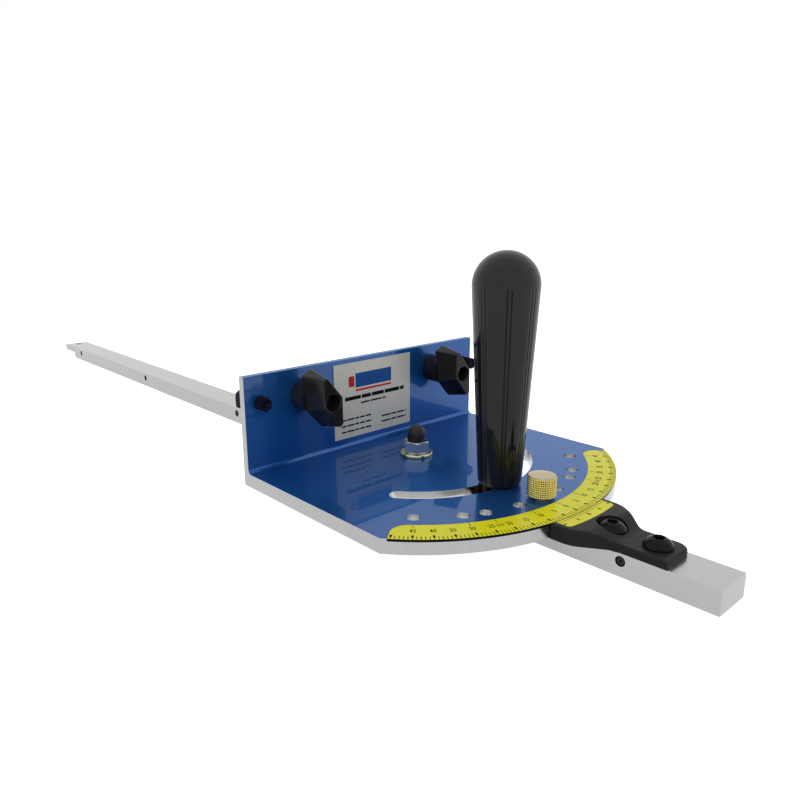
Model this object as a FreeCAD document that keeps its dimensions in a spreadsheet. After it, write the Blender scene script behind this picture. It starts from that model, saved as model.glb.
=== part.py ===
import FreeCAD, Part
import math
import os
import Sketcher

# Miter gauge for a saw table.
# The origin is on the pivot axis, level with the underside of the bar.
# +Y runs along the bar to its far end, +X along the flange, +Z up.

SIZES = [
    ("bar_width", 19.05, "bar across its groove"),
    ("bar_height", 9.525, "bar from underside to top"),
    ("bar_tail", 19.1, "near end of the bracket to the near end of the bar"),
    ("bar_far", 457.2, "pivot to the far end of the bar"),
    ("bar_edge", 0.4, "chamfer along the bar"),
    ("tongue_length", 21.8, "thin tongue at the far end"),
    ("tongue_thickness", 4.84, "thin tongue, top to underside"),
    ("tongue_hole_width", 4.2, "hole in the tongue"),
    ("tongue_hole_inset", 7.3, "far end to the hole in the tongue"),
    ("bar_screw_width", 4.0, "set screws in the side of the bar"),
    ("bar_screw_length", 6.0, "set screws in the side of the bar"),
    ("bar_screw_key", 1.9, "hexagon in a set screw, across flats"),
    ("bar_screw_near", 36.7, "near end of the bar to the first set screw"),
    ("bar_screw_far", 38.5, "far end of the bar to the last set screw"),
    ("bar_screw_drop", 3.2, "top of the bar to the middle of a set screw"),
    ("fit_gap", 0.05, "gap round a pin, a stud or a thread"),
    ("let_in_gap", 0.1, "gap round the plates that are let in"),
    ("rim_gap", 0.3, "gap between the rim and the bracket"),
    ("plate_thickness", 6.06, "half-round plate of the head"),
    ("head_width", 146.4, "head along the flange"),
    ("flange_set", 32.0, "pivot to the near face of the flange"),
    ("flange_thickness", 3.5, "upright flange"),
    ("flange_height", 50.1, "underside of the plate to the top of the flange"),
    ("inner_corner", 2.0, "radius between plate and flange"),
    ("slot_radius", 51.3, "middle line of the curved slot"),
    ("slot_play", 1.25, "clamp stud to the curved slot, both sides together"),
    ("slot_half_angle", 52.5, "curved slot each way, to the middle of its round end"),
    ("index_room", 6.64, "foot of the handle to the brass knob"),
    ("stop_hole_width", 5.6, "stop holes"),
    ("scale_margin", 4.0, "stop holes to the angle scale"),
    ("scale_width", 12.4, "angle scale, inner edge to the rim"),
    ("scale_end_angle", 1.7, "corner of the plate to the end of the scale, seen from the pivot"),
    ("scale_thickness", 1.0, "angle scale"),
    ("scale_corner", 7.0, "radius of the inner corners of the angle scale"),
    ("bracket_margin", 0.1, "side of the bar to the side of the bracket"),
    ("bracket_front_half", 18.2, "bracket beside the rim, half across"),
    ("bracket_cheek", 0.6, "vernier plate to where the bracket starts to narrow"),
    ("bracket_taper", 13.5, "length over which it narrows to the bar"),
    ("bracket_tab", 2.9, "thickness of the low end of the bracket"),
    ("slope_start", 6.6, "vernier plate to the top of the slope"),
    ("slope_length", 7.0, "top of the slope to its foot"),
    ("slope_round", 9.0, "radius at the top and the foot of the slope"),
    ("tab_front", 6.75, "foot of the slope to the head of the rear screw"),
    ("tab_rear", 2.95, "head of the rear screw to the end of the bracket"),
    ("bracket_shoulder_round", 12.0, "radius in plan at the shoulder"),
    ("bracket_waist_round", 8.0, "radius in plan at the waist"),
    ("bracket_end_round", 5.3, "radius in plan at one corner of the low end"),
    ("bracket_top_round", 1.2, "radius round the top edges"),
    ("vernier_width", 6.1, "vernier plate, inner edge to outer edge"),
    ("vernier_margin", 2.7, "side of the vernier plate to the side of the bracket"),
    ("vernier_thickness", 1.0, "vernier plate"),
    ("vernier_corner", 1.8, "radius of its outer corners"),
    ("recess_wall", 1.0, "vernier plate to the recess for the front screw"),
    ("recess_gap", 0.55, "head of the front screw to the side of its recess"),
    ("button_width", 11.1, "head of a button screw"),
    ("button_height", 4.3, "head of a button screw"),
    ("button_rim", 1.2, "straight side of that head, below its dome"),
    ("button_key", 4.0, "hexagon in a button screw, across flats"),
    ("button_key_depth", 2.2, "hexagon in a button screw"),
    ("button_reach", 8.0, "button screw below its head"),
    ("stud_width", 6.35, "thread size of studs, bolts and button screws"),
    ("stud_seat", 8.0, "depth of the blind holes that the studs stand in"),
    ("stud_end_gap", 0.3, "bottom of a blind hole to the foot of its stud"),
    ("washer_width", 15.4, "washer on the pivot"),
    ("washer_thickness", 1.6, "washer on the pivot"),
    ("washer_bore_gap", 0.3, "washer round its stud"),
    ("hex_width", 11.11, "nut and bolt heads, across flats"),
    ("nut_height", 5.8, "nut on the pivot"),
    ("cap_width", 8.6, "cap over the end of the pivot stud"),
    ("cap_straight", 3.2, "straight side of the cap, below its dome"),
    ("cap_roof", 2.0, "cap above the end of the stud"),
    ("clamp_washer_width", 15.4, "washer under the handle"),
    ("clamp_washer_thickness", 0.85, "washer under the handle"),
    ("handle_base_radius", 9.3, "handle at its foot"),
    ("handle_top_radius", 13.95, "handle at its dome"),
    ("handle_straight", 83.7, "foot of the handle to the start of its dome"),
    ("handle_edge", 0.8, "chamfer round the foot"),
    ("groove_width", 0.6, "fine grooves along the handle"),
    ("groove_depth", 0.4, "fine grooves along the handle"),
    ("groove_turn", 3.6, "half the angle between the two grooves of a pair"),
    ("groove_stop", 0.7, "top of the grooves to the start of the dome"),
    ("insert_radius", 5.6, "threaded insert in the handle"),
    ("insert_length", 25.0, "threaded insert in the handle"),
    ("clamp_end", 3.0, "end of the clamp stud to the end of its insert"),
    ("index_radius", 6.06, "brass knob"),
    ("index_height", 8.7, "brass knob above its shoulder"),
    ("index_shoulder_radius", 4.4, "shoulder under the brass knob"),
    ("index_shoulder", 1.1, "height of that shoulder"),
    ("index_edge", 0.5, "chamfer of the brass knob"),
    ("pin_grip", 6.0, "index pin into the brass knob"),
    ("pin_clear", 0.5, "top of the bar to the tip of the index pin"),
    ("bolt_drop", 12.6, "top of the flange to the bolts in it"),
    ("bolt_head", 4.4, "height of a bolt head"),
    ("bolt_slack", 4.0, "far face of the flange to a bolt head"),
    ("end_bolt_inset", 8.0, "end of the flange to an end bolt"),
    ("left_bolt_show", 5.3, "left end bolt in front of the flange"),
    ("right_bolt_show", 9.0, "right end bolt in front of the flange"),
    ("bolt_hole_gap", 0.2, "flange round a knob's bolt"),
    ("bolt_edge", 0.5, "chamfer on the end of a bolt or stud"),
    ("knob_set", 42.2, "middle of the flange to a knob"),
    ("boss_radius", 7.0, "round boss of a knob"),
    ("boss_length", 10.0, "round boss of a knob"),
    ("wing_depth", 13.2, "wings of a knob along its axis"),
    ("wing_face_half", 5.3, "front face of the wings, half across"),
    ("wing_face_side", 10.9, "front face, end of the long side"),
    ("wing_face_step", 2.0, "front face, start of the slope"),
    ("wing_face_tip", 11.8, "front face, highest point"),
    ("wing_face_tip_side", 3.1, "front face, highest point sideways"),
    ("wing_back_half", 7.7, "back of the wings, half across the tip"),
    ("wing_back_side", 11.6, "back of the wings, end of the long side"),
    ("wing_back_waist", 5.6, "back of the wings, half across the waist"),
    ("wing_back_step", 5.3, "back of the wings, start of the slope"),
    ("wing_back_tip", 14.1, "back of the wings, highest point"),
    ("wing_back_tip_side", 2.6, "back of the wings, highest point sideways"),
    ("knob_hole_width", 7.5, "hole in the front of a knob"),
    ("knob_insert_radius", 5.0, "threaded insert in a knob"),
    ("knob_insert_length", 13.0, "threaded insert in a knob"),
    ("knob_bolt_past", 4.5, "knob's bolt past its insert"),
    ("label_width", 50.2, "label on the flange"),
    ("label_thickness", 0.4, "label on the flange"),
    ("label_shift", 0.65, "middle of the flange to the middle of the label"),
    ("label_drop", 2.0, "top of the flange to the top of the label"),
    ("label_lift", 4.44, "top of the plate to the bottom of the label"),
    ("hex_flat_turn", 30.0, "turn that brings a flat of a bolt head to the top, in degrees"),
    ("nut_turn", -10.0, "turn of the nut on the pivot, in degrees"),
]

# Angles of the stop holes to each side of the one in the middle, in degrees.
STOP_ANGLES = (10, 22.5, 30, 45)
BAR_SCREW_COUNT = 5
GROOVE_PAIRS = 8

ORIGIN = FreeCAD.Vector(0, 0, 0)
ALONG_X = FreeCAD.Vector(1, 0, 0)
ALONG_Y = FreeCAD.Vector(0, 1, 0)
ALONG_Z = FreeCAD.Vector(0, 0, 1)

doc = FreeCAD.newDocument("miter_gauge")
sheet = doc.addObject("Spreadsheet::Sheet", "Sizes")


class Size:
    """A length or angle that remembers the formula it is worked out with."""

    def __init__(self, value, text):
        self.value = value
        self.text = text

    def __add__(self, other):
        other = as_size(other)
        return Size(self.value + other.value, f"({self.text} + {other.text})")

    def __sub__(self, other):
        other = as_size(other)
        return Size(self.value - other.value, f"({self.text} - {other.text})")

    def __mul__(self, other):
        other = as_size(other)
        return Size(self.value * other.value, f"({self.text} * {other.text})")

    def __truediv__(self, other):
        other = as_size(other)
        return Size(self.value / other.value, f"({self.text} / {other.text})")

    def __neg__(self):
        return Size(-self.value, f"(0 - {self.text})")

    __radd__ = __add__
    __rmul__ = __mul__


def as_size(thing):
    """A plain number becomes a size whose formula is the number."""
    if isinstance(thing, Size):
        return thing
    return Size(float(thing), str(float(thing)))


def sine(angle):
    return Size(math.sin(math.radians(angle.value)), f"sin({angle.text})")


def cosine(angle):
    return Size(math.cos(math.radians(angle.value)), f"cos({angle.text})")


def arcsine(ratio):
    return Size(math.degrees(math.asin(ratio.value)), f"(asin({ratio.text}) / 1 deg)")


def fill_sheet():
    """Put every driving size in the sheet and return them by name."""
    known = {}
    for row, (name, value, note) in enumerate(SIZES, start=1):
        sheet.set(f"A{row}", name)
        sheet.set(f"B{row}", str(value))
        sheet.setAlias(f"B{row}", name)
        sheet.set(f"C{row}", note)
        known[name] = Size(value, f"Sizes.{name}")
    doc.recompute()
    return known


class Named:
    """The driving sizes as attributes, such as s.bar_width."""

    def __init__(self, known):
        self.__dict__.update(known)


s = Named(fill_sheet())
NODES = []


def bind(thing, path, size):
    thing.setExpression(path, as_size(size).text)


def place(thing, at, axis=ALONG_Z, turn=0):
    """Turn a finished shape by a fixed angle and bind its place."""
    thing.Placement = FreeCAD.Placement(ORIGIN, FreeCAD.Rotation(axis, turn))
    for letter, size in zip("xyz", at):
        bind(thing, f"Placement.Base.{letter}", size)
    return thing


def box(name, sides, at):
    thing = doc.addObject("Part::Box", name)
    for path, size in zip(("Length", "Width", "Height"), sides):
        bind(thing, path, size)
    return place(thing, at)


def cylinder(name, radius, height, at, axis=ALONG_Z, turn=0):
    thing = doc.addObject("Part::Cylinder", name)
    bind(thing, "Radius", radius)
    bind(thing, "Height", height)
    return place(thing, at, axis, turn)


def cone(name, foot, top, height, at):
    thing = doc.addObject("Part::Cone", name)
    bind(thing, "Radius1", foot)
    bind(thing, "Radius2", top)
    bind(thing, "Height", height)
    return place(thing, at)


def hexagon(name, across_flats, height, at, axis=ALONG_Z, turn=0):
    thing = doc.addObject("Part::Prism", name)
    thing.Polygon = 6
    bind(thing, "Circumradius", across_flats / math.sqrt(3))
    bind(thing, "Height", height)
    return place(thing, at, axis, turn)


def cut(name, base, tools):
    for number, tool in enumerate(tools):
        step = doc.addObject("Part::Cut", f"{name}_cut{number}")
        step.Base = base
        step.Tool = tool
        base = step
    return base


def fuse(name, parts):
    thing = doc.addObject("Part::MultiFuse", name)
    thing.Shapes = parts
    thing.Refine = True
    return thing


def common(name, parts):
    thing = doc.addObject("Part::MultiCommon", name)
    thing.Shapes = parts
    return thing


def group(name, parts):
    thing = doc.addObject("Part::Compound", name)
    thing.Links = parts
    return thing


def node(name, thing):
    """Label a finished sub-part; its file gets the same name."""
    thing.Label = name
    NODES.append(thing)
    return thing


def fits(edge, tests):
    """True where both ends of an edge meet every test, given as (axis, place)."""
    for vertex in edge.Vertexes:
        spot = (vertex.X, vertex.Y, vertex.Z)
        for axis, level in tests:
            if abs(spot[axis] - level) > 0.01:
                return False
    return True


def edges_where(shape, wanted):
    """Names of the edges for which wanted(edge) is true."""
    return [f"Edge{n}" for n, edge in enumerate(shape.Edges, start=1) if wanted(edge)]


def upright_at(x, y):
    """A test for upright edges at one place in plan."""
    return lambda edge: fits(edge, [(0, x), (1, y)])


# Sketches


def sketch_on(body, role, name, lift=0.0):
    """A sketch on one of the body's own planes, lifted off it by a size."""
    sketch = body.newObject("Sketcher::SketchObject", name)
    plane = [part for part in body.Origin.OriginFeatures if part.Role == role][0]
    sketch.AttachmentSupport = (plane, "")
    sketch.MapMode = "FlatFace"
    bind(sketch, "AttachmentOffset.Base.z", lift)
    return sketch


def pin(sketch, item, point, x, y):
    """Fix a point of a sketch item by its two distances from the origin."""
    for kind, size in (("DistanceX", x), ("DistanceY", y)):
        if size is None:
            continue
        size = as_size(size)
        rule = Sketcher.Constraint(kind, -1, 1, item, point, size.value)
        number = sketch.addConstraint(rule)
        name = f"{kind}_{item}_{point}"
        sketch.renameConstraint(number, name)
        bind(sketch, f"Constraints.{name}", size)


def polygon(sketch, points):
    """A closed outline of straight lines through the given points."""
    points = [(as_size(x), as_size(y)) for x, y in points]
    following = points[1:] + points[:1]
    first = sketch.GeometryCount
    for (x, y), (next_x, next_y) in zip(points, following):
        start = FreeCAD.Vector(x.value, y.value, 0)
        end = FreeCAD.Vector(next_x.value, next_y.value, 0)
        sketch.addGeometry(Part.LineSegment(start, end), False)
    for number, (x, y) in enumerate(points):
        line = first + number
        next_line = first + (number + 1) % len(points)
        sketch.addConstraint(Sketcher.Constraint("Coincident", line, 2, next_line, 1))
        pin(sketch, line, 1, x, y)


def circle(sketch, x, y, radius):
    x, y, radius = as_size(x), as_size(y), as_size(radius)
    middle = FreeCAD.Vector(x.value, y.value, 0)
    item = sketch.addGeometry(Part.Circle(middle, ALONG_Z, radius.value), False)
    pin(sketch, item, 3, x, y)
    number = sketch.addConstraint(Sketcher.Constraint("Radius", item, radius.value))
    sketch.renameConstraint(number, f"Radius_{item}")
    bind(sketch, f"Constraints.Radius_{item}", radius)


def pad(body, sketch, name, length, both_ways=False):
    feature = body.newObject("PartDesign::Pad", name)
    feature.Profile = sketch
    if both_ways:
        feature.SideType = "Symmetric"
    bind(feature, "Length", length)
    return feature


def pocket(body, sketch, name, length, reverse=False):
    """Cut the sketch out of the body and check that something was cut."""
    doc.recompute()
    before = body.Shape.Volume
    feature = body.newObject("PartDesign::Pocket", name)
    feature.Profile = sketch
    feature.Reversed = reverse
    bind(feature, "Length", length)
    doc.recompute()
    if body.Shape.Volume > before - 0.01:
        raise ValueError(f"{name} cuts nothing")
    return feature


def revolve(body, sketch, name):
    feature = body.newObject("PartDesign::Revolution", name)
    feature.Profile = sketch
    feature.ReferenceAxis = (sketch, ["V_Axis"])
    feature.Angle = 360
    return feature


def soften(body, kind, name, size, wanted):
    """A fillet or chamfer on the edges that pass a test."""
    doc.recompute()
    base = body.Tip
    feature = body.newObject(f"PartDesign::{kind}", name)
    feature.Base = (base, edges_where(base.Shape, wanted))
    bind(feature, "Radius" if kind == "Fillet" else "Size", size)
    return feature


# Rings about the pivot, from the inside out

stud_radius = s.stud_width / 2
thread_radius = stud_radius + s.fit_gap
half_slot = (s.stud_width + s.slot_play) / 2
stop_hole_radius = s.stop_hole_width / 2
stop_radius = s.slot_radius + s.handle_base_radius + s.index_room + s.index_radius
scale_inner = stop_radius + stop_hole_radius + s.scale_margin
rim_radius = scale_inner + s.scale_width
vernier_inner = rim_radius + s.rim_gap
vernier_outer = vernier_inner + s.vernier_width
half_head = s.head_width / 2
scale_half_angle = arcsine(half_head / rim_radius) - s.scale_end_angle

# Distances along the bar from the pivot towards its near end

bracket_shoulder = vernier_outer + s.bracket_cheek
bracket_waist = bracket_shoulder + s.bracket_taper
recess_radius = s.button_width / 2 + s.recess_gap
front_screw_set = vernier_outer + s.let_in_gap + s.recess_wall + recess_radius
slope_top = vernier_outer + s.slope_start
slope_foot = slope_top + s.slope_length
rear_screw_set = slope_foot + s.tab_front + s.button_width / 2
bracket_end = rear_screw_set + s.button_width / 2 + s.tab_rear
bar_near = bracket_end + s.bar_tail
clamp_y = -s.slot_radius
index_y = -stop_radius
button_seats = (-front_screw_set, -rear_screw_set)

# Heights, and what stands on the flange

plate_foot = s.bar_height
plate_top = s.bar_height + s.plate_thickness
pin_radius = stop_hole_radius - s.fit_gap
flange_far = s.flange_set + s.flange_thickness
flange_top = plate_foot + s.flange_height
bolt_height = flange_top - s.bolt_drop
end_bolt_set = half_head - s.end_bolt_inset
seat_height = plate_foot + s.bracket_tab
washer_top = plate_top + s.washer_thickness
nut_top = washer_top + s.nut_height
cap_radius = s.cap_width / 2
cap_dome = nut_top + s.cap_straight
pivot_stud_top = cap_dome + cap_radius - s.cap_roof
handle_foot = plate_top + s.clamp_washer_thickness
clamp_reach = s.insert_length - s.clamp_end
stud_foot = s.bar_height - s.stud_seat + s.stud_end_gap


def bar_screw_places():
    """Distance along the bar and height of each set screw in its side."""
    first = s.bar_screw_near - bar_near
    last = s.bar_far - s.bar_screw_far
    pitch = (last - first) / (BAR_SCREW_COUNT - 1)
    height = s.bar_height - s.bar_screw_drop
    return [(first + pitch * n, height) for n in range(BAR_SCREW_COUNT)]


def make_bar():
    """Steel bar with a thin tongue, upright holes and holes for set screws."""
    body = doc.addObject("PartDesign::Body", "bar")
    step = s.bar_far - s.tongue_length
    tongue_under = s.bar_height - s.tongue_thickness
    side = sketch_on(body, "YZ_Plane", "bar_side")
    polygon(side, [
        (-bar_near, 0),
        (step, 0),
        (step, tongue_under),
        (s.bar_far, tongue_under),
        (s.bar_far, s.bar_height),
        (-bar_near, s.bar_height),
    ])
    pad(body, side, "bar_block", s.bar_width, both_ways=True)
    half = s.bar_width.value / 2
    top = s.bar_height.value

    def long_edge(edge):
        return any(fits(edge, [(0, x), (2, z)]) for x in (-half, half) for z in (0, top))

    soften(body, "Chamfer", "bar_edges", s.bar_edge, long_edge)
    blind = sketch_on(body, "XY_Plane", "bar_stud_holes", s.bar_height)
    circle(blind, 0, 0, thread_radius)
    circle(blind, 0, clamp_y, thread_radius)
    pocket(body, blind, "bar_stud_bores", s.stud_seat)
    holes = sketch_on(body, "XY_Plane", "bar_holes", s.bar_height)
    circle(holes, 0, index_y, stop_hole_radius)
    for seat in button_seats:
        circle(holes, 0, seat, thread_radius)
    circle(holes, 0, s.bar_far - s.tongue_hole_inset, s.tongue_hole_width / 2)
    pocket(body, holes, "bar_bores", s.bar_height + 1)
    side_holes = sketch_on(body, "YZ_Plane", "bar_side_holes", -s.bar_width / 2)
    for along, height in bar_screw_places():
        circle(side_holes, along, height, s.bar_screw_width / 2 + s.fit_gap)
    pocket(body, side_holes, "bar_side_bores", s.bar_screw_length + 1, reverse=True)
    node("miter_bar", body)


def make_bar_screws():
    """Equal socket set screws, each just below the side of the bar."""
    screws = []
    outer = -s.bar_width / 2 + s.bar_edge / 2
    for n, (along, height) in enumerate(bar_screw_places()):
        at = (outer, along, height)
        radius = s.bar_screw_width / 2
        shank = cylinder(f"bar_screw_{n}", radius, s.bar_screw_length, at, ALONG_Y, 90)
        depth = s.bar_screw_length / 2
        key = hexagon(f"bar_screw_key_{n}", s.bar_screw_key, depth, at, ALONG_Y, 90)
        screws.append(cut(f"bar_screw_body_{n}", shank, [key]))
    node("bar_set_screws", group("bar_screws", screws))


def sector(name, inner, outer, half_angle, height, foot):
    """A flat ring segment about the pivot, symmetrical about the bar."""
    whole = doc.addObject("Part::Cylinder", f"{name}_whole")
    bind(whole, "Radius", outer)
    bind(whole, "Height", height)
    bind(whole, "Angle", half_angle * 2)
    place(whole, (0, 0, foot))
    bind(whole, "Placement.Rotation.Angle", -(as_size(90) + half_angle))
    middle = cylinder(f"{name}_middle", inner, height + 2, (0, 0, foot - 1))
    return cut(name, whole, [middle])


def round_upright(name, base, radius, wanted):
    """Round the upright edges of a shape that pass a test."""
    doc.recompute()
    feature = doc.addObject("Part::Fillet", name)
    feature.Base = base
    amount = as_size(radius).value
    names = edges_where(base.Shape, wanted)
    feature.Edges = [(int(edge[4:]), amount, amount) for edge in names]
    return feature


def scale_band(name, gap, height, foot):
    """The outline of the angle scale, or of its seat with a gap all round."""
    inner = scale_inner - gap
    outer = rim_radius
    half_angle = scale_half_angle + gap / rim_radius * math.degrees(1)
    band = sector(f"{name}_band", inner, outer, half_angle, height, foot)

    def inner_corner(edge):
        spots = [vertex.Point for vertex in edge.Vertexes]
        upright = abs(spots[0].z - spots[-1].z) > 0.1
        return upright and all(math.hypot(p.x, p.y) < inner.value + 0.01 for p in spots)

    return round_upright(name, band, s.scale_corner + gap, inner_corner)


def make_head():
    """Half-round plate with an upright flange, in one piece."""
    depth = rim_radius + flange_far
    sides = (s.head_width, depth, s.plate_thickness)
    strip = box("plate_strip", sides, (-half_head, -rim_radius, plate_foot))
    disc = cylinder("plate_disc", rim_radius, s.plate_thickness, (0, 0, plate_foot))
    plate = common("plate_round", [strip, disc])
    back_sides = (s.head_width, flange_far, s.plate_thickness)
    back = box("plate_back", back_sides, (-half_head, 0, plate_foot))
    flange_sides = (s.head_width, s.flange_thickness, s.flange_height)
    flange = box("flange", flange_sides, (-half_head, s.flange_set, plate_foot))
    angle = fuse("head_angle", [plate, back, flange])
    corner_y = s.flange_set.value
    corner_z = plate_top.value
    corner = round_upright("head_corner", angle, s.inner_corner,
                           lambda edge: fits(edge, [(1, corner_y), (2, corner_z)]))

    through = s.plate_thickness + 2
    below = plate_foot - 1
    slot = sector("slot", s.slot_radius - half_slot, s.slot_radius + half_slot,
                  s.slot_half_angle, through, below)
    tools = [slot]
    for side in (-1, 1):
        x = s.slot_radius * sine(s.slot_half_angle) * side
        y = -s.slot_radius * cosine(s.slot_half_angle)
        tools.append(cylinder(f"slot_end_{side + 1}", half_slot, through, (x, y, below)))
    tools.append(cylinder("pivot_hole", thread_radius, through, (0, 0, below)))
    for angle_deg in sorted({sign * a for a in STOP_ANGLES for sign in (-1, 1)} | {0}):
        x = stop_radius * math.sin(math.radians(angle_deg))
        y = -stop_radius * math.cos(math.radians(angle_deg))
        name = f"stop_hole_{round(angle_deg * 10) + 900}"
        tools.append(cylinder(name, stop_hole_radius, through, (x, y, below)))
    seat = plate_top - s.scale_thickness
    tools.append(scale_band("scale_seat", s.let_in_gap, s.scale_thickness + 1, seat))
    for side in (-1, 1):
        for name, x, gap in (("knob", s.knob_set, s.bolt_hole_gap), ("end", end_bolt_set, s.fit_gap)):
            at = (x * side, flange_far + 1, bolt_height)
            tools.append(cylinder(f"{name}_hole_{side + 1}", stud_radius + gap,
                                  s.flange_thickness + 2, at, ALONG_X, 90))
    node("head", cut("head_made", corner, tools))


def make_scale():
    seat = plate_top - s.scale_thickness
    node("angle_scale", scale_band("scale", as_size(0), s.scale_thickness, seat))


def vernier_outline(name, gap, height, foot):
    """The vernier plate, or its seat with a gap all round."""
    outer = vernier_outer + gap
    half = s.bracket_front_half - s.vernier_margin + gap
    disc = cylinder(f"{name}_disc", outer, height, (0, 0, foot))
    strip = box(f"{name}_strip", (half * 2, outer, height), (-half, -outer, foot))
    band = common(f"{name}_whole", [disc, strip])
    rim = cylinder(f"{name}_rim", vernier_inner, height + 2, (0, 0, foot - 1))
    plate = cut(f"{name}_band", band, [rim])

    def outer_corner(edge):
        spots = [vertex.Point for vertex in edge.Vertexes]
        upright = abs(spots[0].z - spots[-1].z) > 0.1
        return upright and all(math.hypot(p.x, p.y) > outer.value - 0.01 for p in spots)

    return round_upright(name, plate, s.vernier_corner + gap, outer_corner)


def make_bracket():
    """Block on the bar that reads the scale: wide at the rim, low at its end."""
    body = doc.addObject("PartDesign::Body", "bracket")
    narrow = s.bar_width / 2 - s.bracket_margin
    wide = s.bracket_front_half
    behind_rim = rim_radius - s.bracket_front_half
    plan = sketch_on(body, "XY_Plane", "bracket_plan", plate_foot)
    polygon(plan, [
        (-wide, -behind_rim),
        (-wide, -bracket_shoulder),
        (-narrow, -bracket_waist),
        (-narrow, -bracket_end),
        (narrow, -bracket_end),
        (narrow, -bracket_waist),
        (wide, -bracket_shoulder),
        (wide, -behind_rim),
    ])
    pad(body, plan, "bracket_block", s.plate_thickness)
    corners = [
        ("shoulder", s.bracket_shoulder_round, wide.value, -bracket_shoulder.value),
        ("waist", s.bracket_waist_round, narrow.value, -bracket_waist.value),
    ]
    for name, radius, x, y in corners:
        soften(body, "Fillet", f"bracket_{name}", radius,
               lambda edge, x=x, y=y: upright_at(-x, y)(edge) or upright_at(x, y)(edge))
    soften(body, "Fillet", "bracket_corner", s.bracket_end_round,
           upright_at(narrow.value, -bracket_end.value))
    slope = sketch_on(body, "YZ_Plane", "bracket_slope")
    polygon(slope, [
        (-slope_top, plate_top),
        (-slope_foot, seat_height),
        (-bracket_end - 1, seat_height),
        (-bracket_end - 1, plate_top + 1),
        (-slope_top, plate_top + 1),
    ])
    lower = body.newObject("PartDesign::Pocket", "bracket_low_end")
    lower.Profile = slope
    lower.SideType = "Symmetric"
    bind(lower, "Length", s.bar_width * 3)
    soften(body, "Fillet", "bracket_bends", s.slope_round,
           lambda edge: fits(edge, [(1, -slope_top.value)]) or fits(edge, [(1, -slope_foot.value)]))
    rim = sketch_on(body, "XY_Plane", "bracket_rim", plate_top)
    circle(rim, 0, 0, vernier_inner)
    pocket(body, rim, "bracket_hollow", s.plate_thickness + 1)
    foot = plate_foot.value
    rim_line = vernier_inner.value

    def top_edge(edge):
        middle = edge.valueAt((edge.FirstParameter + edge.LastParameter) / 2)
        if math.hypot(middle.x, middle.y) < rim_line + 0.05 or middle.z < foot + 0.1:
            return False
        spots = [vertex.Point for vertex in edge.Vertexes]
        upright = math.hypot(spots[0].x - spots[-1].x, spots[0].y - spots[-1].y) < 0.01
        from_side_to_side = abs(spots[0].x + spots[-1].x) < 0.01
        return not upright and not from_side_to_side

    soften(body, "Fillet", "bracket_top_edges", s.bracket_top_round, top_edge)
    recess = sketch_on(body, "XY_Plane", "bracket_recess", plate_top)
    circle(recess, 0, button_seats[0], recess_radius)
    pocket(body, recess, "bracket_recess_cut", s.plate_thickness - s.bracket_tab)
    holes = sketch_on(body, "XY_Plane", "bracket_holes", plate_top)
    for seat in button_seats:
        circle(holes, 0, seat, stud_radius + s.bolt_hole_gap)
    pocket(body, holes, "bracket_bores", s.plate_thickness + 1)
    doc.recompute()
    seat = plate_top - s.vernier_thickness
    seat_cut = vernier_outline("vernier_seat", s.let_in_gap, s.vernier_thickness + 1, seat)
    node("cursor_bracket", cut("bracket_made", body, [seat_cut]))
    vernier = vernier_outline("vernier", as_size(0), s.vernier_thickness, seat)
    node("vernier_plate", vernier)


def make_cursor_screws():
    """Two equal button screws through the bracket into the bar."""
    screws = []
    dome_height = s.button_height - s.button_rim
    dome_radius = (s.button_width * s.button_width / 4 + dome_height * dome_height) / 2 / dome_height
    for n, along in enumerate(button_seats):
        shank_foot = seat_height - s.button_reach
        shank = cylinder(f"button_shank_{n}", stud_radius, s.button_reach, (0, along, shank_foot))
        slab = cylinder(f"button_slab_{n}", s.button_width / 2, s.button_height, (0, along, seat_height))
        ball = doc.addObject("Part::Sphere", f"button_ball_{n}")
        bind(ball, "Radius", dome_radius)
        place(ball, (0, along, seat_height + s.button_height - dome_radius))
        dome = common(f"button_dome_{n}", [slab, ball])
        key_foot = seat_height + s.button_height - s.button_key_depth
        key = hexagon(f"button_key_{n}", s.button_key, s.button_key_depth + 1, (0, along, key_foot))
        whole = fuse(f"button_whole_{n}", [shank, dome])
        screws.append(cut(f"button_made_{n}", whole, [key]))
    node("cursor_screws", group("cursor_screw_pair", screws))


def stud(name, foot, top, along):
    """Threaded stud upright in the bar, chamfered at its top."""
    edge = s.bolt_edge
    shank = cylinder(f"{name}_shank", stud_radius, top - foot - edge, (0, along, foot))
    tip = cone(f"{name}_tip", stud_radius, stud_radius - edge, edge, (0, along, top - edge))
    return fuse(f"{name}_made", [shank, tip])


def ring(name, outer, inner, height, at):
    x, y, foot = at
    disc = cylinder(f"{name}_disc", outer, height, at)
    bore = cylinder(f"{name}_bore", inner, height + 2, (x, y, as_size(foot) - 1))
    return cut(name, disc, [bore])


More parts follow.
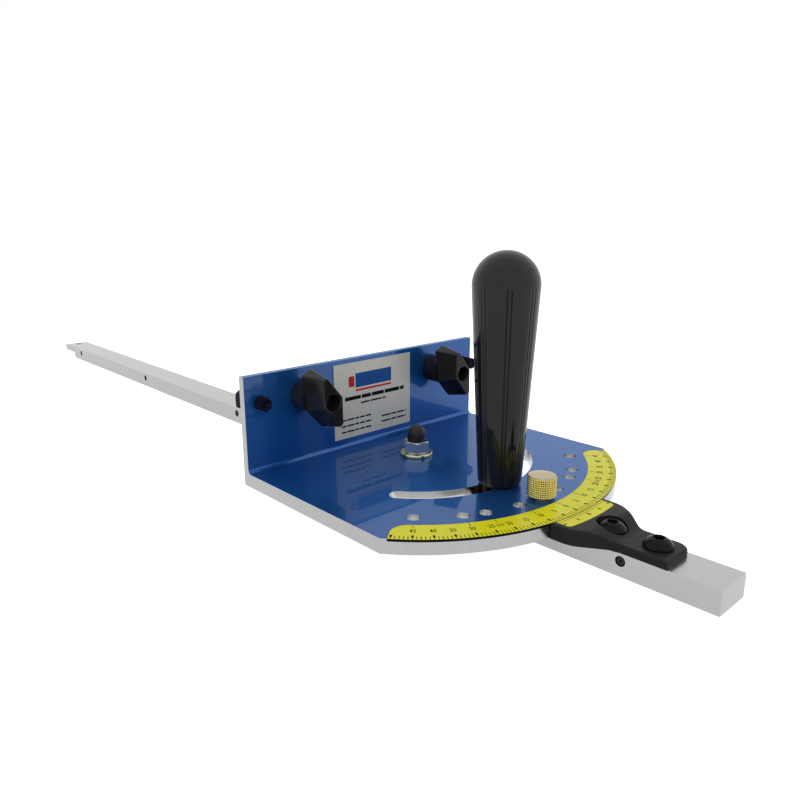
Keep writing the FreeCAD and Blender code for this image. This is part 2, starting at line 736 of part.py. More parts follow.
def make_pivot():
    """Stud, washer, nut and cap on the pivot axis."""
    node("pivot_stud", stud("pivot", stud_foot, pivot_stud_top, 0))
    bore = stud_radius + s.washer_bore_gap
    washer = ring("pivot_ring", s.washer_width / 2, bore, s.washer_thickness, (0, 0, plate_top))
    node("pivot_washer", washer)
    prism = hexagon("nut_prism", s.hex_width, s.nut_height, (0, 0, washer_top), ALONG_Z, s.nut_turn.value)
    corner = s.hex_width / math.sqrt(3)
    lower = cone("nut_lower", s.hex_width / 2, corner + s.nut_height, s.nut_height, (0, 0, washer_top))
    upper = cone("nut_upper", corner + s.nut_height, s.hex_width / 2, s.nut_height, (0, 0, washer_top))
    shaped = common("nut_shaped", [prism, lower, upper])
    thread = cylinder("nut_thread", thread_radius, s.nut_height + 2, (0, 0, washer_top - 1))
    node("pivot_nut", cut("nut_made", shaped, [thread]))
    skirt = cylinder("cap_skirt", cap_radius, s.cap_straight, (0, 0, nut_top))
    dome = doc.addObject("Part::Sphere", "cap_dome")
    bind(dome, "Radius", cap_radius)
    place(dome, (0, 0, cap_dome))
    rounded = fuse("cap_rounded", [skirt, dome])
    below = cylinder("cap_below", cap_radius + 1, cap_radius, (0, 0, nut_top - cap_radius))
    hollow = cylinder("cap_hollow", thread_radius, pivot_stud_top - nut_top, (0, 0, nut_top))
    node("pivot_cap", cut("cap_made", rounded, [below, hollow]))


def make_handle():
    """Tapered handle with a dome and pairs of fine grooves along it."""
    body = doc.addObject("PartDesign::Body", "handle")
    profile = sketch_on(body, "XZ_Plane", "handle_profile")
    base, top = s.handle_base_radius, s.handle_top_radius
    straight, edge = s.handle_straight, s.handle_edge
    points = [(as_size(0), as_size(0)), (base - edge, as_size(0)), (base, edge), (top, straight)]
    for (x, y), (next_x, next_y) in zip(points[:-1], points[1:]):
        start = FreeCAD.Vector(x.value, y.value, 0)
        end = FreeCAD.Vector(next_x.value, next_y.value, 0)
        line = profile.addGeometry(Part.LineSegment(start, end), False)
        pin(profile, line, 1, x, y)
    middle = FreeCAD.Vector(0, straight.value, 0)
    ball = Part.Circle(middle, ALONG_Z, top.value)
    dome = profile.addGeometry(Part.ArcOfCircle(ball, 0, math.pi / 2), False)
    crown = FreeCAD.Vector(0, straight.value + top.value, 0)
    axis = profile.addGeometry(Part.LineSegment(crown, ORIGIN), False)
    pin(profile, dome, 3, 0, straight)
    pin(profile, dome, 1, top, None)
    pin(profile, dome, 2, 0, None)
    for item, next_item in ((0, 1), (1, 2), (2, dome), (dome, axis), (axis, 0)):
        profile.addConstraint(Sketcher.Constraint("Coincident", item, 2, next_item, 1))
    revolve(body, profile, "handle_turned")
    place(body, (0, clamp_y, handle_foot))

    slant = math.degrees(math.atan2(top.value - base.value, straight.value))
    tools = []
    for n in range(GROOVE_PAIRS * 2):
        pair, side = divmod(n, 2)
        turn = pair * 360 / GROOVE_PAIRS + (side * 2 - 1) * s.groove_turn.value
        tools.append(groove(f"groove_{n}", turn, slant))
    seat_radius = s.insert_radius + s.fit_gap
    fit = cylinder("handle_seat", seat_radius, s.insert_length, (0, clamp_y, handle_foot))
    node("clamp_handle", cut("handle_made", body, tools + [fit]))


def groove(name, turn, slant):
    """A long thin bar that lies in the side of the handle at one angle."""
    tool = doc.addObject("Part::Box", name)
    bind(tool, "Length", s.groove_depth + 2)
    bind(tool, "Width", s.groove_width)
    bind(tool, "Height", s.handle_straight - s.groove_stop)
    across = FreeCAD.Rotation(ALONG_Z, turn)
    lean = FreeCAD.Rotation(ALONG_Y, slant)
    tool.Placement = FreeCAD.Placement(ORIGIN, across.multiply(lean))
    out = s.handle_base_radius - s.groove_depth
    side = s.groove_width / 2
    angle = as_size(turn)
    bind(tool, "Placement.Base.x", out * cosine(angle) + side * sine(angle))
    bind(tool, "Placement.Base.y", clamp_y + out * sine(angle) - side * cosine(angle))
    bind(tool, "Placement.Base.z", handle_foot)
    return tool


def make_clamp():
    """Stud through the curved slot, washer, handle and its insert."""
    node("clamp_stud", stud("clamp", stud_foot, handle_foot + clamp_reach, clamp_y))
    bore = stud_radius + s.washer_bore_gap
    washer = ring("clamp_ring", s.clamp_washer_width / 2, bore,
                  s.clamp_washer_thickness, (0, clamp_y, plate_top))
    node("clamp_washer", washer)
    make_handle()
    length = s.insert_length
    barrel = cylinder("insert_barrel", s.insert_radius, length, (0, clamp_y, handle_foot))
    thread_depth = clamp_reach + 1
    thread = cylinder("insert_thread", thread_radius, thread_depth, (0, clamp_y, handle_foot))
    node("handle_insert", cut("insert_made", barrel, [thread]))


def make_index():
    """Brass knob with a steel pin that drops into the stop holes."""
    body = doc.addObject("PartDesign::Body", "index")
    profile = sketch_on(body, "XZ_Plane", "index_profile")
    shoulder, edge, radius = s.index_shoulder, s.index_edge, s.index_radius
    crown = shoulder + s.index_height
    polygon(profile, [
        (pin_radius, 0),
        (s.index_shoulder_radius, 0),
        (s.index_shoulder_radius, shoulder),
        (radius - edge, shoulder),
        (radius, shoulder + edge),
        (radius, crown - edge),
        (radius - edge, crown),
        (0, crown),
        (0, s.pin_grip),
        (pin_radius, s.pin_grip),
    ])
    revolve(body, profile, "index_turned")
    place(body, (0, index_y, plate_top))
    node("index_knob", body)
    foot = plate_foot + s.pin_clear
    edge = s.bolt_edge
    top = plate_top + s.pin_grip
    shank = cylinder("pin_shank", pin_radius, top - foot - edge, (0, index_y, foot + edge))
    tip = cone("pin_tip", pin_radius - edge, pin_radius, edge, (0, index_y, foot))
    node("index_pin", fuse("pin_made", [shank, tip]))


def bolt(name, x, show):
    """Hexagon bolt through the flange, its head behind with some slack."""
    length = show + s.flange_thickness + s.bolt_slack
    edge = s.bolt_edge
    head = hexagon(f"{name}_head", s.hex_width, s.bolt_head, (0, 0, -s.bolt_head), ALONG_Z, s.hex_flat_turn.value)
    corner = s.hex_width / math.sqrt(3)
    ease = cone(f"{name}_ease", s.hex_width / 2, corner + s.bolt_head, s.bolt_head,
                (0, 0, -s.bolt_head))
    eased = common(f"{name}_eased", [head, ease])
    shank = cylinder(f"{name}_shank", stud_radius, length - edge, (0, 0, 0))
    tip = cone(f"{name}_tip", stud_radius, stud_radius - edge, edge, (0, 0, length - edge))
    whole = fuse(f"{name}_made", [eased, shank, tip])
    return place(whole, (x, flange_far + s.bolt_slack, bolt_height), ALONG_X, 90)


def make_bolts():
    ends = [bolt(f"end_bolt_{n}", end_bolt_set * side, show)
            for n, (side, show) in enumerate(((-1, s.left_bolt_show), (1, s.right_bolt_show)))]
    node("end_bolts", group("end_bolt_pair", ends))
    knob_bolt_show = s.knob_insert_length + s.knob_bolt_past
    knobs = [bolt(f"knob_bolt_{n}", s.knob_set * side, knob_bolt_show)
             for n, side in enumerate((-1, 1))]
    node("fence_bolts", group("knob_bolt_pair", knobs))


def wing_outline(sketch, half, side, waist, step, tip, tip_side):
    """Six-sided outline that is the same when it is turned half round."""
    polygon(sketch, [
        (-half, side),
        (-waist, -step),
        (tip_side, -tip),
        (half, -side),
        (waist, step),
        (-tip_side, tip),
    ])


def make_knob(name, side):
    """Wing knob: round boss against the flange, slanted wings, open front."""
    body = doc.addObject("PartDesign::Body", f"{name}_body")
    back = sketch_on(body, "XY_Plane", f"{name}_back", s.boss_length)
    wing_outline(back, s.wing_back_half, s.wing_back_side, s.wing_back_waist,
                 s.wing_back_step, s.wing_back_tip, s.wing_back_tip_side)
    knob_length = s.boss_length + s.wing_depth
    face = sketch_on(body, "XY_Plane", f"{name}_face", knob_length)
    wing_outline(face, s.wing_face_half, s.wing_face_side, s.wing_face_half,
                 s.wing_face_step, s.wing_face_tip, s.wing_face_tip_side)
    wings = body.newObject("PartDesign::AdditiveLoft", f"{name}_wings")
    wings.Profile = back
    wings.Sections = [face]
    wings.Ruled = True
    boss = sketch_on(body, "XY_Plane", f"{name}_boss")
    circle(boss, 0, 0, s.boss_radius)
    pad(body, boss, f"{name}_boss_pad", s.boss_length)
    front = sketch_on(body, "XY_Plane", f"{name}_front", knob_length)
    circle(front, 0, 0, s.knob_hole_width / 2)
    pocket(body, front, f"{name}_front_hole", knob_length - s.knob_insert_length)
    back_hole = sketch_on(body, "XY_Plane", f"{name}_back_hole")
    circle(back_hole, 0, 0, s.knob_insert_radius + s.fit_gap)
    pocket(body, back_hole, f"{name}_insert_seat", s.knob_insert_length, reverse=True)
    at = (s.knob_set * side, s.flange_set, bolt_height)
    place(body, at, ALONG_X, 90)
    return body


def make_knobs():
    for word, side in (("left", -1), ("right", 1)):
        node(f"fence_knob_{word}", make_knob(f"knob_{word}", side))
        insert = ring(f"knob_insert_{word}_made", s.knob_insert_radius, thread_radius,
                      s.knob_insert_length, (0, 0, 0))
        place(insert, (s.knob_set * side, s.flange_set, bolt_height), ALONG_X, 90)
        node(f"knob_insert_{word}", insert)


def make_label():
    foot = plate_top + s.label_lift
    sides = (s.label_width, s.label_thickness, flange_top - s.label_drop - foot)
    at = (s.label_shift - s.label_width / 2, s.flange_set - s.label_thickness, foot)
    node("label_plate", box("label", sides, at))


def check_and_write():
    """Stop on any failed object, then write one file for each node."""
    doc.recompute()
    for thing in doc.Objects:
        if "Invalid" in thing.State or "Error" in thing.State:
            raise ValueError(f"{thing.Name} failed: {thing.State}")
    for thing in NODES:
        shape = thing.Shape
        if shape.isNull() or not shape.isValid() or not shape.Solids:
            raise ValueError(f"{thing.Label} has no valid solid")
    os.makedirs("parts", exist_ok=True)
    for thing in NODES:
        thing.Shape.exportStep(f"parts/{thing.Label}.step")
        lowest, highest = thing.Shape.BoundBox.ZMin, thing.Shape.BoundBox.ZMax
        print(f"{thing.Label}: {len(thing.Shape.Solids)} solid, {thing.Shape.Volume:.1f} mm3, "
              f"z {lowest:.2f} to {highest:.2f}")


make_bar()
make_bar_screws()
make_head()
make_scale()
make_bracket()
make_cursor_screws()
make_pivot()
make_clamp()
make_index()
make_bolts()
make_knobs()
make_label()
check_and_write()
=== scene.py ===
# %% [markdown]
# A miter gauge slides in the groove of a saw table and holds the work at a set angle.
# The solids of its model arrive as a fixed frame, and each step below gives a solid its
# finish or puts a finer piece in its place. Shapes are worked out with numpy as grids of
# points: a formula says in one line what would take many clicks, and a size is changed in
# one place.

import bmesh
import bpy
import numpy as np
from mathutils import Matrix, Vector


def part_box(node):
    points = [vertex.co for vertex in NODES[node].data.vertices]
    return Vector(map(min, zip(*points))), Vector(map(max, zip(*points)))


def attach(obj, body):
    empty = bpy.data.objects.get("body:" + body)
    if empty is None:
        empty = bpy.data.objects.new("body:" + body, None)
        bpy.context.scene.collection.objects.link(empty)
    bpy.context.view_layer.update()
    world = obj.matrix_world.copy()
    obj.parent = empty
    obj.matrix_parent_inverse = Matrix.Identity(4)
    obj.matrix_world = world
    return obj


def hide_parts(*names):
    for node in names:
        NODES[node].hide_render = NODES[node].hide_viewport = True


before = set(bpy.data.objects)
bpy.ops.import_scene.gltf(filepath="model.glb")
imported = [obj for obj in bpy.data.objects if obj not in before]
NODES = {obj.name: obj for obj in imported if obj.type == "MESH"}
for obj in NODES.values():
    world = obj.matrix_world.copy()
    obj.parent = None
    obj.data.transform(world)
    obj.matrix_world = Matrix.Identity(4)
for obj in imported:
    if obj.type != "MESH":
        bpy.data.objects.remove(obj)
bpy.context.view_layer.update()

MM = 0.001
print("solids in the frame:", len(NODES))


# %% [markdown]
# The camera comes first, because every later choice is judged through it. The picture was
# taken from the left of the bar, a little above the handle, looking down by fifteen
# degrees. Turning a camera by hand is quick but rough, so its directions are worked out
# from a heading, a dip and a lean.

# %% Camera
CAMERA_PLACE = np.array([-227.60, -234.18, 129.495]) * MM
CAMERA_HEADING = np.radians(42.812)
CAMERA_DIP = np.radians(14.902)
CAMERA_LEAN = np.radians(-0.129)
FOCAL_PIXELS, PICTURE_PIXELS = 715.88, 800
SENSOR = 36.0
NEAREST = 0.01


def new_object(name, data):
    """An object with its data, such as a mesh or a lamp, put in the scene."""
    thing = bpy.data.objects.new(name, data)
    bpy.context.scene.collection.objects.link(thing)
    return thing


def unit(vectors):
    """Each vector divided by its length."""
    return vectors / np.linalg.norm(vectors, axis=-1, keepdims=True)


def matrix_of(*columns):
    """A matrix from its columns: three directions, then a place."""
    matrix = np.eye(4)
    matrix[:3, :4] = np.stack(columns, axis=1)
    return Matrix(matrix.tolist())


def camera_matrix(place, heading, dip, lean):
    """The columns are right, up, back and the place.
    Forward is the heading from +Y towards +X, lowered by the dip."""
    level = np.array([np.sin(heading), np.cos(heading), 0])
    forward = level * np.cos(dip) - np.array([0, 0, np.sin(dip)])
    flat_right = unit(np.cross(forward, [0, 0, 1]))
    flat_up = np.cross(flat_right, forward)
    right = np.cos(lean) * flat_right + np.sin(lean) * flat_up
    up = np.cos(lean) * flat_up - np.sin(lean) * flat_right
    return matrix_of(right, up, -forward, place)


camera_data = bpy.data.cameras.new("camera")
camera_data.sensor_width = SENSOR
camera_data.lens = SENSOR * (FOCAL_PIXELS / PICTURE_PIXELS)
camera_data.clip_start = NEAREST
camera = new_object("camera", camera_data)
camera.matrix_world = camera_matrix(CAMERA_PLACE, CAMERA_HEADING, CAMERA_DIP, CAMERA_LEAN)
bpy.context.scene.camera = camera
print("lens in millimetres:", round(camera_data.lens, 2))


# %% [markdown]
# In a grid of points, a face joins each point with its neighbours in the next row and the
# next column, and the last column joins the first. Points that fall together, as at the
# pole of a dome, are merged, so that the surface is closed. A finished mesh then rides on
# the body that it moves with.

# %% Grids into meshes
SAME_PLACE = 0.001 * MM
SHARP_FROM = 35


def grid_faces(rows, columns):
    """Four-sided faces between each row and the next, closed round the columns."""
    row, column = np.mgrid[0:rows - 1, 0:columns]
    beside = (column + 1) % columns
    corners = [row * columns + column, row * columns + beside,
               (row + 1) * columns + beside, (row + 1) * columns + column]
    return np.stack(corners, axis=-1).reshape(-1, 4)


def make_mesh(name, points, faces, sharp=SHARP_FROM):
    """Merge what coincides, turn all faces outwards and keep edges sharp past an angle."""
    mesh = bpy.data.meshes.new(name)
    mesh.from_pydata(points.tolist(), [], faces.tolist())
    work = bmesh.new()
    work.from_mesh(mesh)
    bmesh.ops.remove_doubles(work, verts=work.verts, dist=SAME_PLACE)
    bmesh.ops.recalc_face_normals(work, faces=work.faces)
    work.to_mesh(mesh)
    work.free()
    mesh.shade_smooth()
    mesh.set_sharp_from_angle(angle=np.radians(sharp))
    return mesh


def add_piece(name, mesh, body, material, stands_for=()):
    """Put a mesh in the scene, riding on a body, and hide the solids it stands for."""
    thing = new_object(name, mesh)
    mesh.materials.append(material)
    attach(thing, body)
    if stands_for:
        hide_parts(*stands_for)
    print(name, "has", len(mesh.polygons), "faces")
    return thing


def soften_shading(thing):
    """Let the large flat faces decide how their rounded edges shade."""
    modifier = thing.modifiers.new("weighted_normals", "WEIGHTED_NORMAL")
    modifier.keep_sharp = True


# %% [markdown]
# Most small parts were turned on a lathe: a half outline is carried round an axis. Some
# rows are six-sided, as in a nut or the socket of a screw. One function does both: a row
# has a radius and a height, and it can have a limit, the distance to the six flats.

# %% Turned and six-sided shapes
FREE = 1000.0


def round_points(radius, angle, level):
    """x = radius cos(angle), y = radius sin(angle), z = level, for arrays that fit together."""
    x, y, z = np.broadcast_arrays(radius * np.cos(angle), radius * np.sin(angle), level)
    return np.stack([x, y, z], axis=-1)


def carried_round(rows, columns=72, flats=FREE):
    """Rows (radius, height), some with flats of their own, carried once round the axis.
    reach = min(radius, flats / cos(angle from the middle of the nearest flat))."""
    rows = np.asarray(rows, float)
    angle = np.linspace(0, 2 * np.pi, columns, endpoint=False)
    from_flat = angle % (np.pi / 3) - np.pi / 6
    flats = rows[:, 2:] if rows.shape[1] == 3 else flats
    return round_points(np.minimum(rows[:, :1], flats / np.cos(from_flat)), angle, rows[:, 1:2])


def rounded(corners, radius, steps=5, between=1):
    """Each corner of a closed outline becomes an arc that touches both of its sides. The
    centre is radius / sin(half the angle) away along the bisector, and the points are
    evenly spread. The straight stretch after an arc is divided into between parts."""
    corners = np.asarray(corners, float)
    before = unit(np.roll(corners, 1, axis=0) - corners)
    after = unit(np.roll(corners, -1, axis=0) - corners)
    half = np.arccos(np.clip((before * after).sum(axis=1), -1, 1))[:, None] / 2
    centre = corners + unit(before + after) * (radius / np.sin(half))
    reach = radius / np.tan(half)
    start = (corners + before * reach - centre)[:, None]
    end = (corners + after * reach - centre)[:, None]
    sweep = (np.pi - 2 * half)[:, None]
    share = np.linspace(0, 1, steps + 1)[None, :, None]
    arc = np.sin((1 - share) * sweep) * start + np.sin(share * sweep) * end
    points = centre[:, None] + arc / np.sin(sweep)
    leave = points[:, -1:]
    arrive = np.roll(points[:, :1], -1, axis=0)
    part = np.linspace(0, 1, between + 1)[None, 1:-1, None]
    points = np.concatenate([points, leave + (arrive - leave) * part], axis=1)
    return points.reshape(-1, 2)


# %% [markdown]
# A grid is worked out in millimetres round its own axis. Screws and knobs point in other
# directions and come in rows, so a grid is turned and set down at each of its places.

# %% Copies at their places
# Each row says where the piece's own x, y and z directions point in the frame.
UP = np.array([[1, 0, 0], [0, 1, 0], [0, 0, 1]])
FRONT = np.array([[1, 0, 0], [0, 0, 1], [0, -1, 0]])
LEFT = np.array([[0, -1, 0], [0, 0, 1], [-1, 0, 0]])


def placed(grid, places, axes=UP, turn=0.0):
    """Copies of a grid in millimetres, turned about its axis, then set at places in metres."""
    cosine, sine = np.cos(np.radians(turn)), np.sin(np.radians(turn))
    spin = np.array([[cosine, sine, 0], [-sine, cosine, 0], [0, 0, 1]])
    local = grid.reshape(-1, 3) * MM @ spin @ axes
    return local[None] + np.atleast_2d(places)[:, None, :]


def joined(*parts):
    """Several arrays of points and faces as one, with the faces renumbered."""
    starts = np.cumsum([0] + [len(points) for points, _ in parts[:-1]])
    points = np.concatenate([points for points, _ in parts])
    faces = np.concatenate([faces + start for start, (_, faces) in zip(starts, parts)])
    return points, faces


def centre_of(node_name):
    """The middle of a solid's underside."""
    low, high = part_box(node_name)
    return np.array([(low.x + high.x) / 2, (low.y + high.y) / 2, low.z])


def finer_piece(name, grid, node_name, body, material, places=None, axes=UP, turn=0.0,
                sharp=SHARP_FROM):
    """One mesh that replaces a node, with a copy of the grid at each place, or at the middle
    of the node's underside if none is given."""
    faces = grid_faces(*grid.shape[:2])
    copies = placed(grid, centre_of(node_name) if places is None else places, axes, turn)
    mesh = make_mesh(name, *joined(*[(points, faces) for points in copies]), sharp)
    return add_piece(name, mesh, body, material, [node_name])


# %% [markdown]
# A finish is a small tree of nodes. Nearly all start from what real surfaces carry: a slow
# drift of colour, uneven roughness and fine bumps. Noise on the object's own coordinates
# gives all three, and stretched along one direction it gives the lines that rolling,
# milling or turning leaves.

# %% Helpers for finishes
NOISE_LOW, NOISE_HIGH = 0.3, 0.7


def new_finish(name):
    """An empty finish: the material and its tree of nodes."""
    material = bpy.data.materials.new(name)
    material.use_nodes = True
    return material, material.node_tree


def feed(tree, socket, value):
    """Give a socket a number, a colour or vector, or the output of another node."""
    if isinstance(value, (int, float)):
        socket.default_value = value
    elif isinstance(value, tuple):
        socket.default_value = (*value, 1)[:len(socket.default_value)]
    else:
        tree.links.new(value, socket)


def set_sockets(tree, **values):
    """Feed the shader's sockets by name. A constant, such as coat_weight=0.5, goes
    straight into its socket."""
    shader = tree.nodes["Principled BSDF"]
    for name, value in values.items():
        socket_name = name.replace("_", " ").title().replace("Ior", "IOR")
        feed(tree, shader.inputs[socket_name], value)


def add_node(tree, kind, inputs, **settings):
    """A new node with its settings and inputs; what comes back are its outputs."""
    node = tree.nodes.new("ShaderNode" + kind)
    for name, value in settings.items():
        setattr(node, name, value)
    for name, value in inputs.items():
        feed(tree, node.inputs[name], value)
    return node.outputs


def noise(tree, scale, stretch=(1, 1, 1)):
    """Noise with about scale spots in a metre, fewer along a direction where stretch is low."""
    place = add_node(tree, "TexCoord", {})["Object"]
    stretched = add_node(tree, "Mapping", {"Vector": place, "Scale": stretch})["Vector"]
    return add_node(tree, "TexNoise", {"Vector": stretched, "Scale": scale, "Detail": 3.0})["Fac"]


def spread(tree, value, low, high, start=NOISE_LOW, end=NOISE_HIGH):
    """Carry a value from the range start..end over to the range low..high."""
    ends = {"From Min": start, "From Max": end, "To Min": low, "To Max": high}
    return add_node(tree, "MapRange", {"Value": value, **ends})["Result"]


def tint(tree, value, low, high):
    """Carry noise over to a blend of two colours. One number as a colour is a grey."""
    node = tree.nodes.new("ShaderNodeValToRGB")
    ends = node.color_ramp.elements
    ends[0].position, ends[1].position = NOISE_LOW, NOISE_HIGH
    ends[0].color, ends[1].color = [(*np.broadcast_to(end, 3), 1) for end in (low, high)]
    tree.links.new(value, node.inputs["Fac"])
    return node.outputs["Color"]


def bump(tree, value, depth, strength=1.0):
    """Fine relief of a depth in metres, from a value between nought and one."""
    inputs = {"Height": value, "Distance": depth, "Strength": strength}
    return add_node(tree, "Bump", inputs)["Normal"]


def speckled(name, low, high, rough, grain=900, depth=0.01 * MM, stretch=(1, 1, 1), **constants):
    """A finish whose colour drifts from low to high, with a fine grain in its roughness
    and its relief."""
    material, tree = new_finish(name)
    fine = noise(tree, grain, stretch)
    colour = tint(tree, noise(tree, grain / 12, stretch), low, high)
    set_sockets(tree, base_color=colour, roughness=spread(tree, fine, *rough),
                normal=bump(tree, fine, depth), **constants)
    return material


# %% [markdown]
# The bar is drawn steel that slides in the saw's groove. Its solid already has the right
# shape, so it only needs its finish. Drawing leaves fine lines along the bar, and noise
# stretched forty times that way gives them, in the colour, the gloss and the relief.

# %% Bar
bar_finish = speckled(
    "drawn_steel", (0.475, 0.475, 0.48), (0.505, 0.505, 0.51), (0.24, 0.30),
    grain=700, depth=0.001 * MM, stretch=(1, 1 / 40, 1), metallic=1.0)


def dress(node_name, material):
    """Give a solid its finish in place of the plain one that it came with."""
    materials = NODES[node_name].data.materials
    materials.clear()
    materials.append(material)
    print(node_name, "is dressed in", material.name)


dress("miter_bar", bar_finish)
low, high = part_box("miter_bar")
print("bar in millimetres:", [round((b - a) / MM, 2) for a, b in zip(low, high)])


# %% [markdown]
# The head is one aluminium angle. It was anodised blue and only then cut and drilled, so
# the rim, the ends of the flange and the walls of the slot and the holes are bare metal.
# Two materials would need its faces sorted. A mask finds the cut faces by which way they
# point and by their height, so one finish covers all. A second mask finds the walls of the
# slot and the holes. Their metal is painted brighter than the rim: painted light, for the
# light thrown from one wall to the other.

# %% Masks for cut faces
HEAD_LOW, HEAD_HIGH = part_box("head")
PLATE_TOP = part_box("angle_scale")[1].z
FLANGE_THICKNESS = 3.5 * MM
FLANGE_FRONT = HEAD_HIGH.y - FLANGE_THICKNESS
RIM_RADIUS, HEAD_SIDE = -HEAD_LOW.y, HEAD_HIGH.x
POINTS_ASIDE, POINTS_UP = 0.98, 0.2
FLANGE_MARGIN, EDGE_MARGIN = 3 * MM, 2 * MM


def object_place(tree):
    """X, Y and Z of a point, in the object's own coordinates."""
    return add_node(tree, "SeparateXYZ", {"Vector": add_node(tree, "TexCoord", {})["Object"]})


def facing(tree):
    """X, Y and Z of the direction that a face points in."""
    normal = add_node(tree, "NewGeometry", {})["True Normal"]
    return add_node(tree, "SeparateXYZ", {"Vector": normal})


def calculate(tree, operation, *values):
    """A Math node; each value is a number or the output of another node."""
    return add_node(tree, "Math", dict(enumerate(values)), operation=operation)[0]


def product(tree, first, *others):
    """Masks multiplied: one only where all of them are one."""
    for other in others:
        first = calculate(tree, "MULTIPLY", first, other)
    return first


def distance_from(tree, place, centre=(0.0, 0.0)):
    """sqrt((x - centre x)^2 + (y - centre y)^2): how far a point is from an upright axis."""
    across = calculate(tree, "SUBTRACT", place["X"], centre[0])
    along = calculate(tree, "SUBTRACT", place["Y"], centre[1])
    along_square = calculate(tree, "MULTIPLY", along, along)
    return calculate(tree, "SQRT", calculate(tree, "MULTIPLY_ADD", across, across, along_square))


def cut_face_masks(tree):
    """First: one on faces that point along X, and on upright faces of the plate; else nought.
    Second: one only on those of the plate that lie well inside the rim and the two sides."""
    direction, place = facing(tree), object_place(tree)
    aside = calculate(tree, "ABSOLUTE", direction["X"])
    upward = calculate(tree, "ABSOLUTE", direction["Z"])
    is_end = calculate(tree, "GREATER_THAN", aside, POINTS_ASIDE)
    is_upright = calculate(tree, "LESS_THAN", upward, POINTS_UP)
    is_low = calculate(tree, "LESS_THAN", place["Z"], PLATE_TOP)
    is_near = calculate(tree, "LESS_THAN", place["Y"], FLANGE_FRONT - FLANGE_MARGIN)
    wall = product(tree, is_upright, is_low, is_near)
    out_from_bar = calculate(tree, "ABSOLUTE", place["X"])
    in_rim = calculate(tree, "LESS_THAN", distance_from(tree, place), RIM_RADIUS - EDGE_MARGIN)
    in_sides = calculate(tree, "LESS_THAN", out_from_bar, HEAD_SIDE - EDGE_MARGIN)
    return calculate(tree, "MAXIMUM", is_end, wall), product(tree, wall, in_rim, in_sides)


print("top of the plate in millimetres:", round(PLATE_TOP / MM, 3))


# %% [markdown]
# Anodising is glossy, and its dye takes the red out of what is mirrored at a low angle. A
# clear coat over a partly metallic blue gives the gloss, and a bluish specular tint takes
# out the red. The masks carry each property over to what bare metal needs.

# %% Head
def mix(tree, share, first, second, kind="RGBA"):
    """first where share is nought and second where it is one. The node has a set of sockets
    for each kind of value, so those in use are found by number."""
    start, result = {"RGBA": (6, 2), "FLOAT": (2, 0)}[kind]
    inputs = {0: share, start: first, start + 1: second}
    return add_node(tree, "Mix", inputs, data_type=kind)[result]


def make_anodised():
    """Glossy blue anodising with bare, faintly lined metal on the cut faces."""
    material, tree = new_finish("blue_anodised")
    mask, inner = cut_face_masks(tree)
    drift = noise(tree, 40)
    fine = noise(tree, 900, (0.03, 1, 1))
    blue = tint(tree, drift, (0.009, 0.086, 0.310), (0.011, 0.098, 0.345))
    silver = tint(tree, fine, (0.43, 0.43, 0.44), (0.46, 0.46, 0.47))
    # Painted light: the walls' brighter grey stands for light thrown from one wall to the other.
    inside = tint(tree, fine, 0.69, 0.73)
    set_sockets(
        tree, coat_weight=0.33, coat_roughness=0.03, coat_ior=2.0, specular_ior_level=0.2,
        base_color=mix(tree, mask, blue, mix(tree, inner, silver, inside)),
        roughness=mix(tree, mask, spread(tree, drift, 0.31, 0.37), 0.14, "FLOAT"),
        metallic=mix(tree, mask, 0.65, 1.0, "FLOAT"),
        specular_tint=mix(tree, mask, (0.5, 0.65, 0.85), (1, 1, 1)),
        normal=bump(tree, fine, 0.002 * MM, 0.3))
    return material


dress("head", make_anodised())


# %% [markdown]
# The angle scale and the small vernier beside it are yellow plates let into the metal.
# Their paint is even and slightly satin, and their edge is black. Whatever doesn't point
# up is edge, so the mask only needs the direction of the face. The edge would mirror the
# white room, so its specular tint is dim.

# %% Scale plates
def make_scale_paint():
    """Yellow paint on what points up, and black on every edge."""
    material, tree = new_finish("yellow_paint")
    edge = calculate(tree, "LESS_THAN", facing(tree)["Z"], 0.5)
    drift = noise(tree, 60)
    fine = noise(tree, 1500)
    yellow = tint(tree, drift, (0.63, 0.60, 0.009), (0.67, 0.64, 0.013))
    black = tint(tree, drift, 0.002, 0.004)
    set_sockets(tree, specular_ior_level=0.15,
                base_color=mix(tree, edge, yellow, black),
                roughness=spread(tree, fine, 0.24, 0.32),
                specular_tint=mix(tree, edge, (1, 1, 1), (0.1, 0.1, 0.1)),
                normal=bump(tree, fine, 0.001 * MM))
    return material


scale_paint = make_scale_paint()
dress("angle_scale", scale_paint)
dress("vernier_plate", scale_paint)


# %% [markdown]
# The marks are printed. A picture could carry them, but blocks a few hundredths of a
# millimetre thick stay sharp at any distance, and all of them are one array. A place on
# the scale is an angle from the bar and a distance from the pivot. Every fifth degree has
# a short broad mark further in, and every stop hole has a fine one at the inner side.

# %% Marks as blocks
INK_DEPTH = 0.03 * MM
BLOCK_FACES = np.array([[0, 3, 2, 1], [4, 5, 6, 7], [0, 1, 5, 4],
                        [1, 2, 6, 5], [2, 3, 7, 6], [3, 0, 4, 7]])


def polar(angle, radius):
    """x = r sin a and y = -r cos a, with a in degrees from the near half of the bar."""
    angle = np.radians(angle)
    return np.stack([radius * np.sin(angle), -radius * np.cos(angle)], axis=-1)


def block_copies(first, second):
    """Blocks, each from four corners on one side and the four across from them."""
    blocks = np.concatenate([first, second], axis=1)
    return joined(*[(corners, BLOCK_FACES) for corners in blocks])


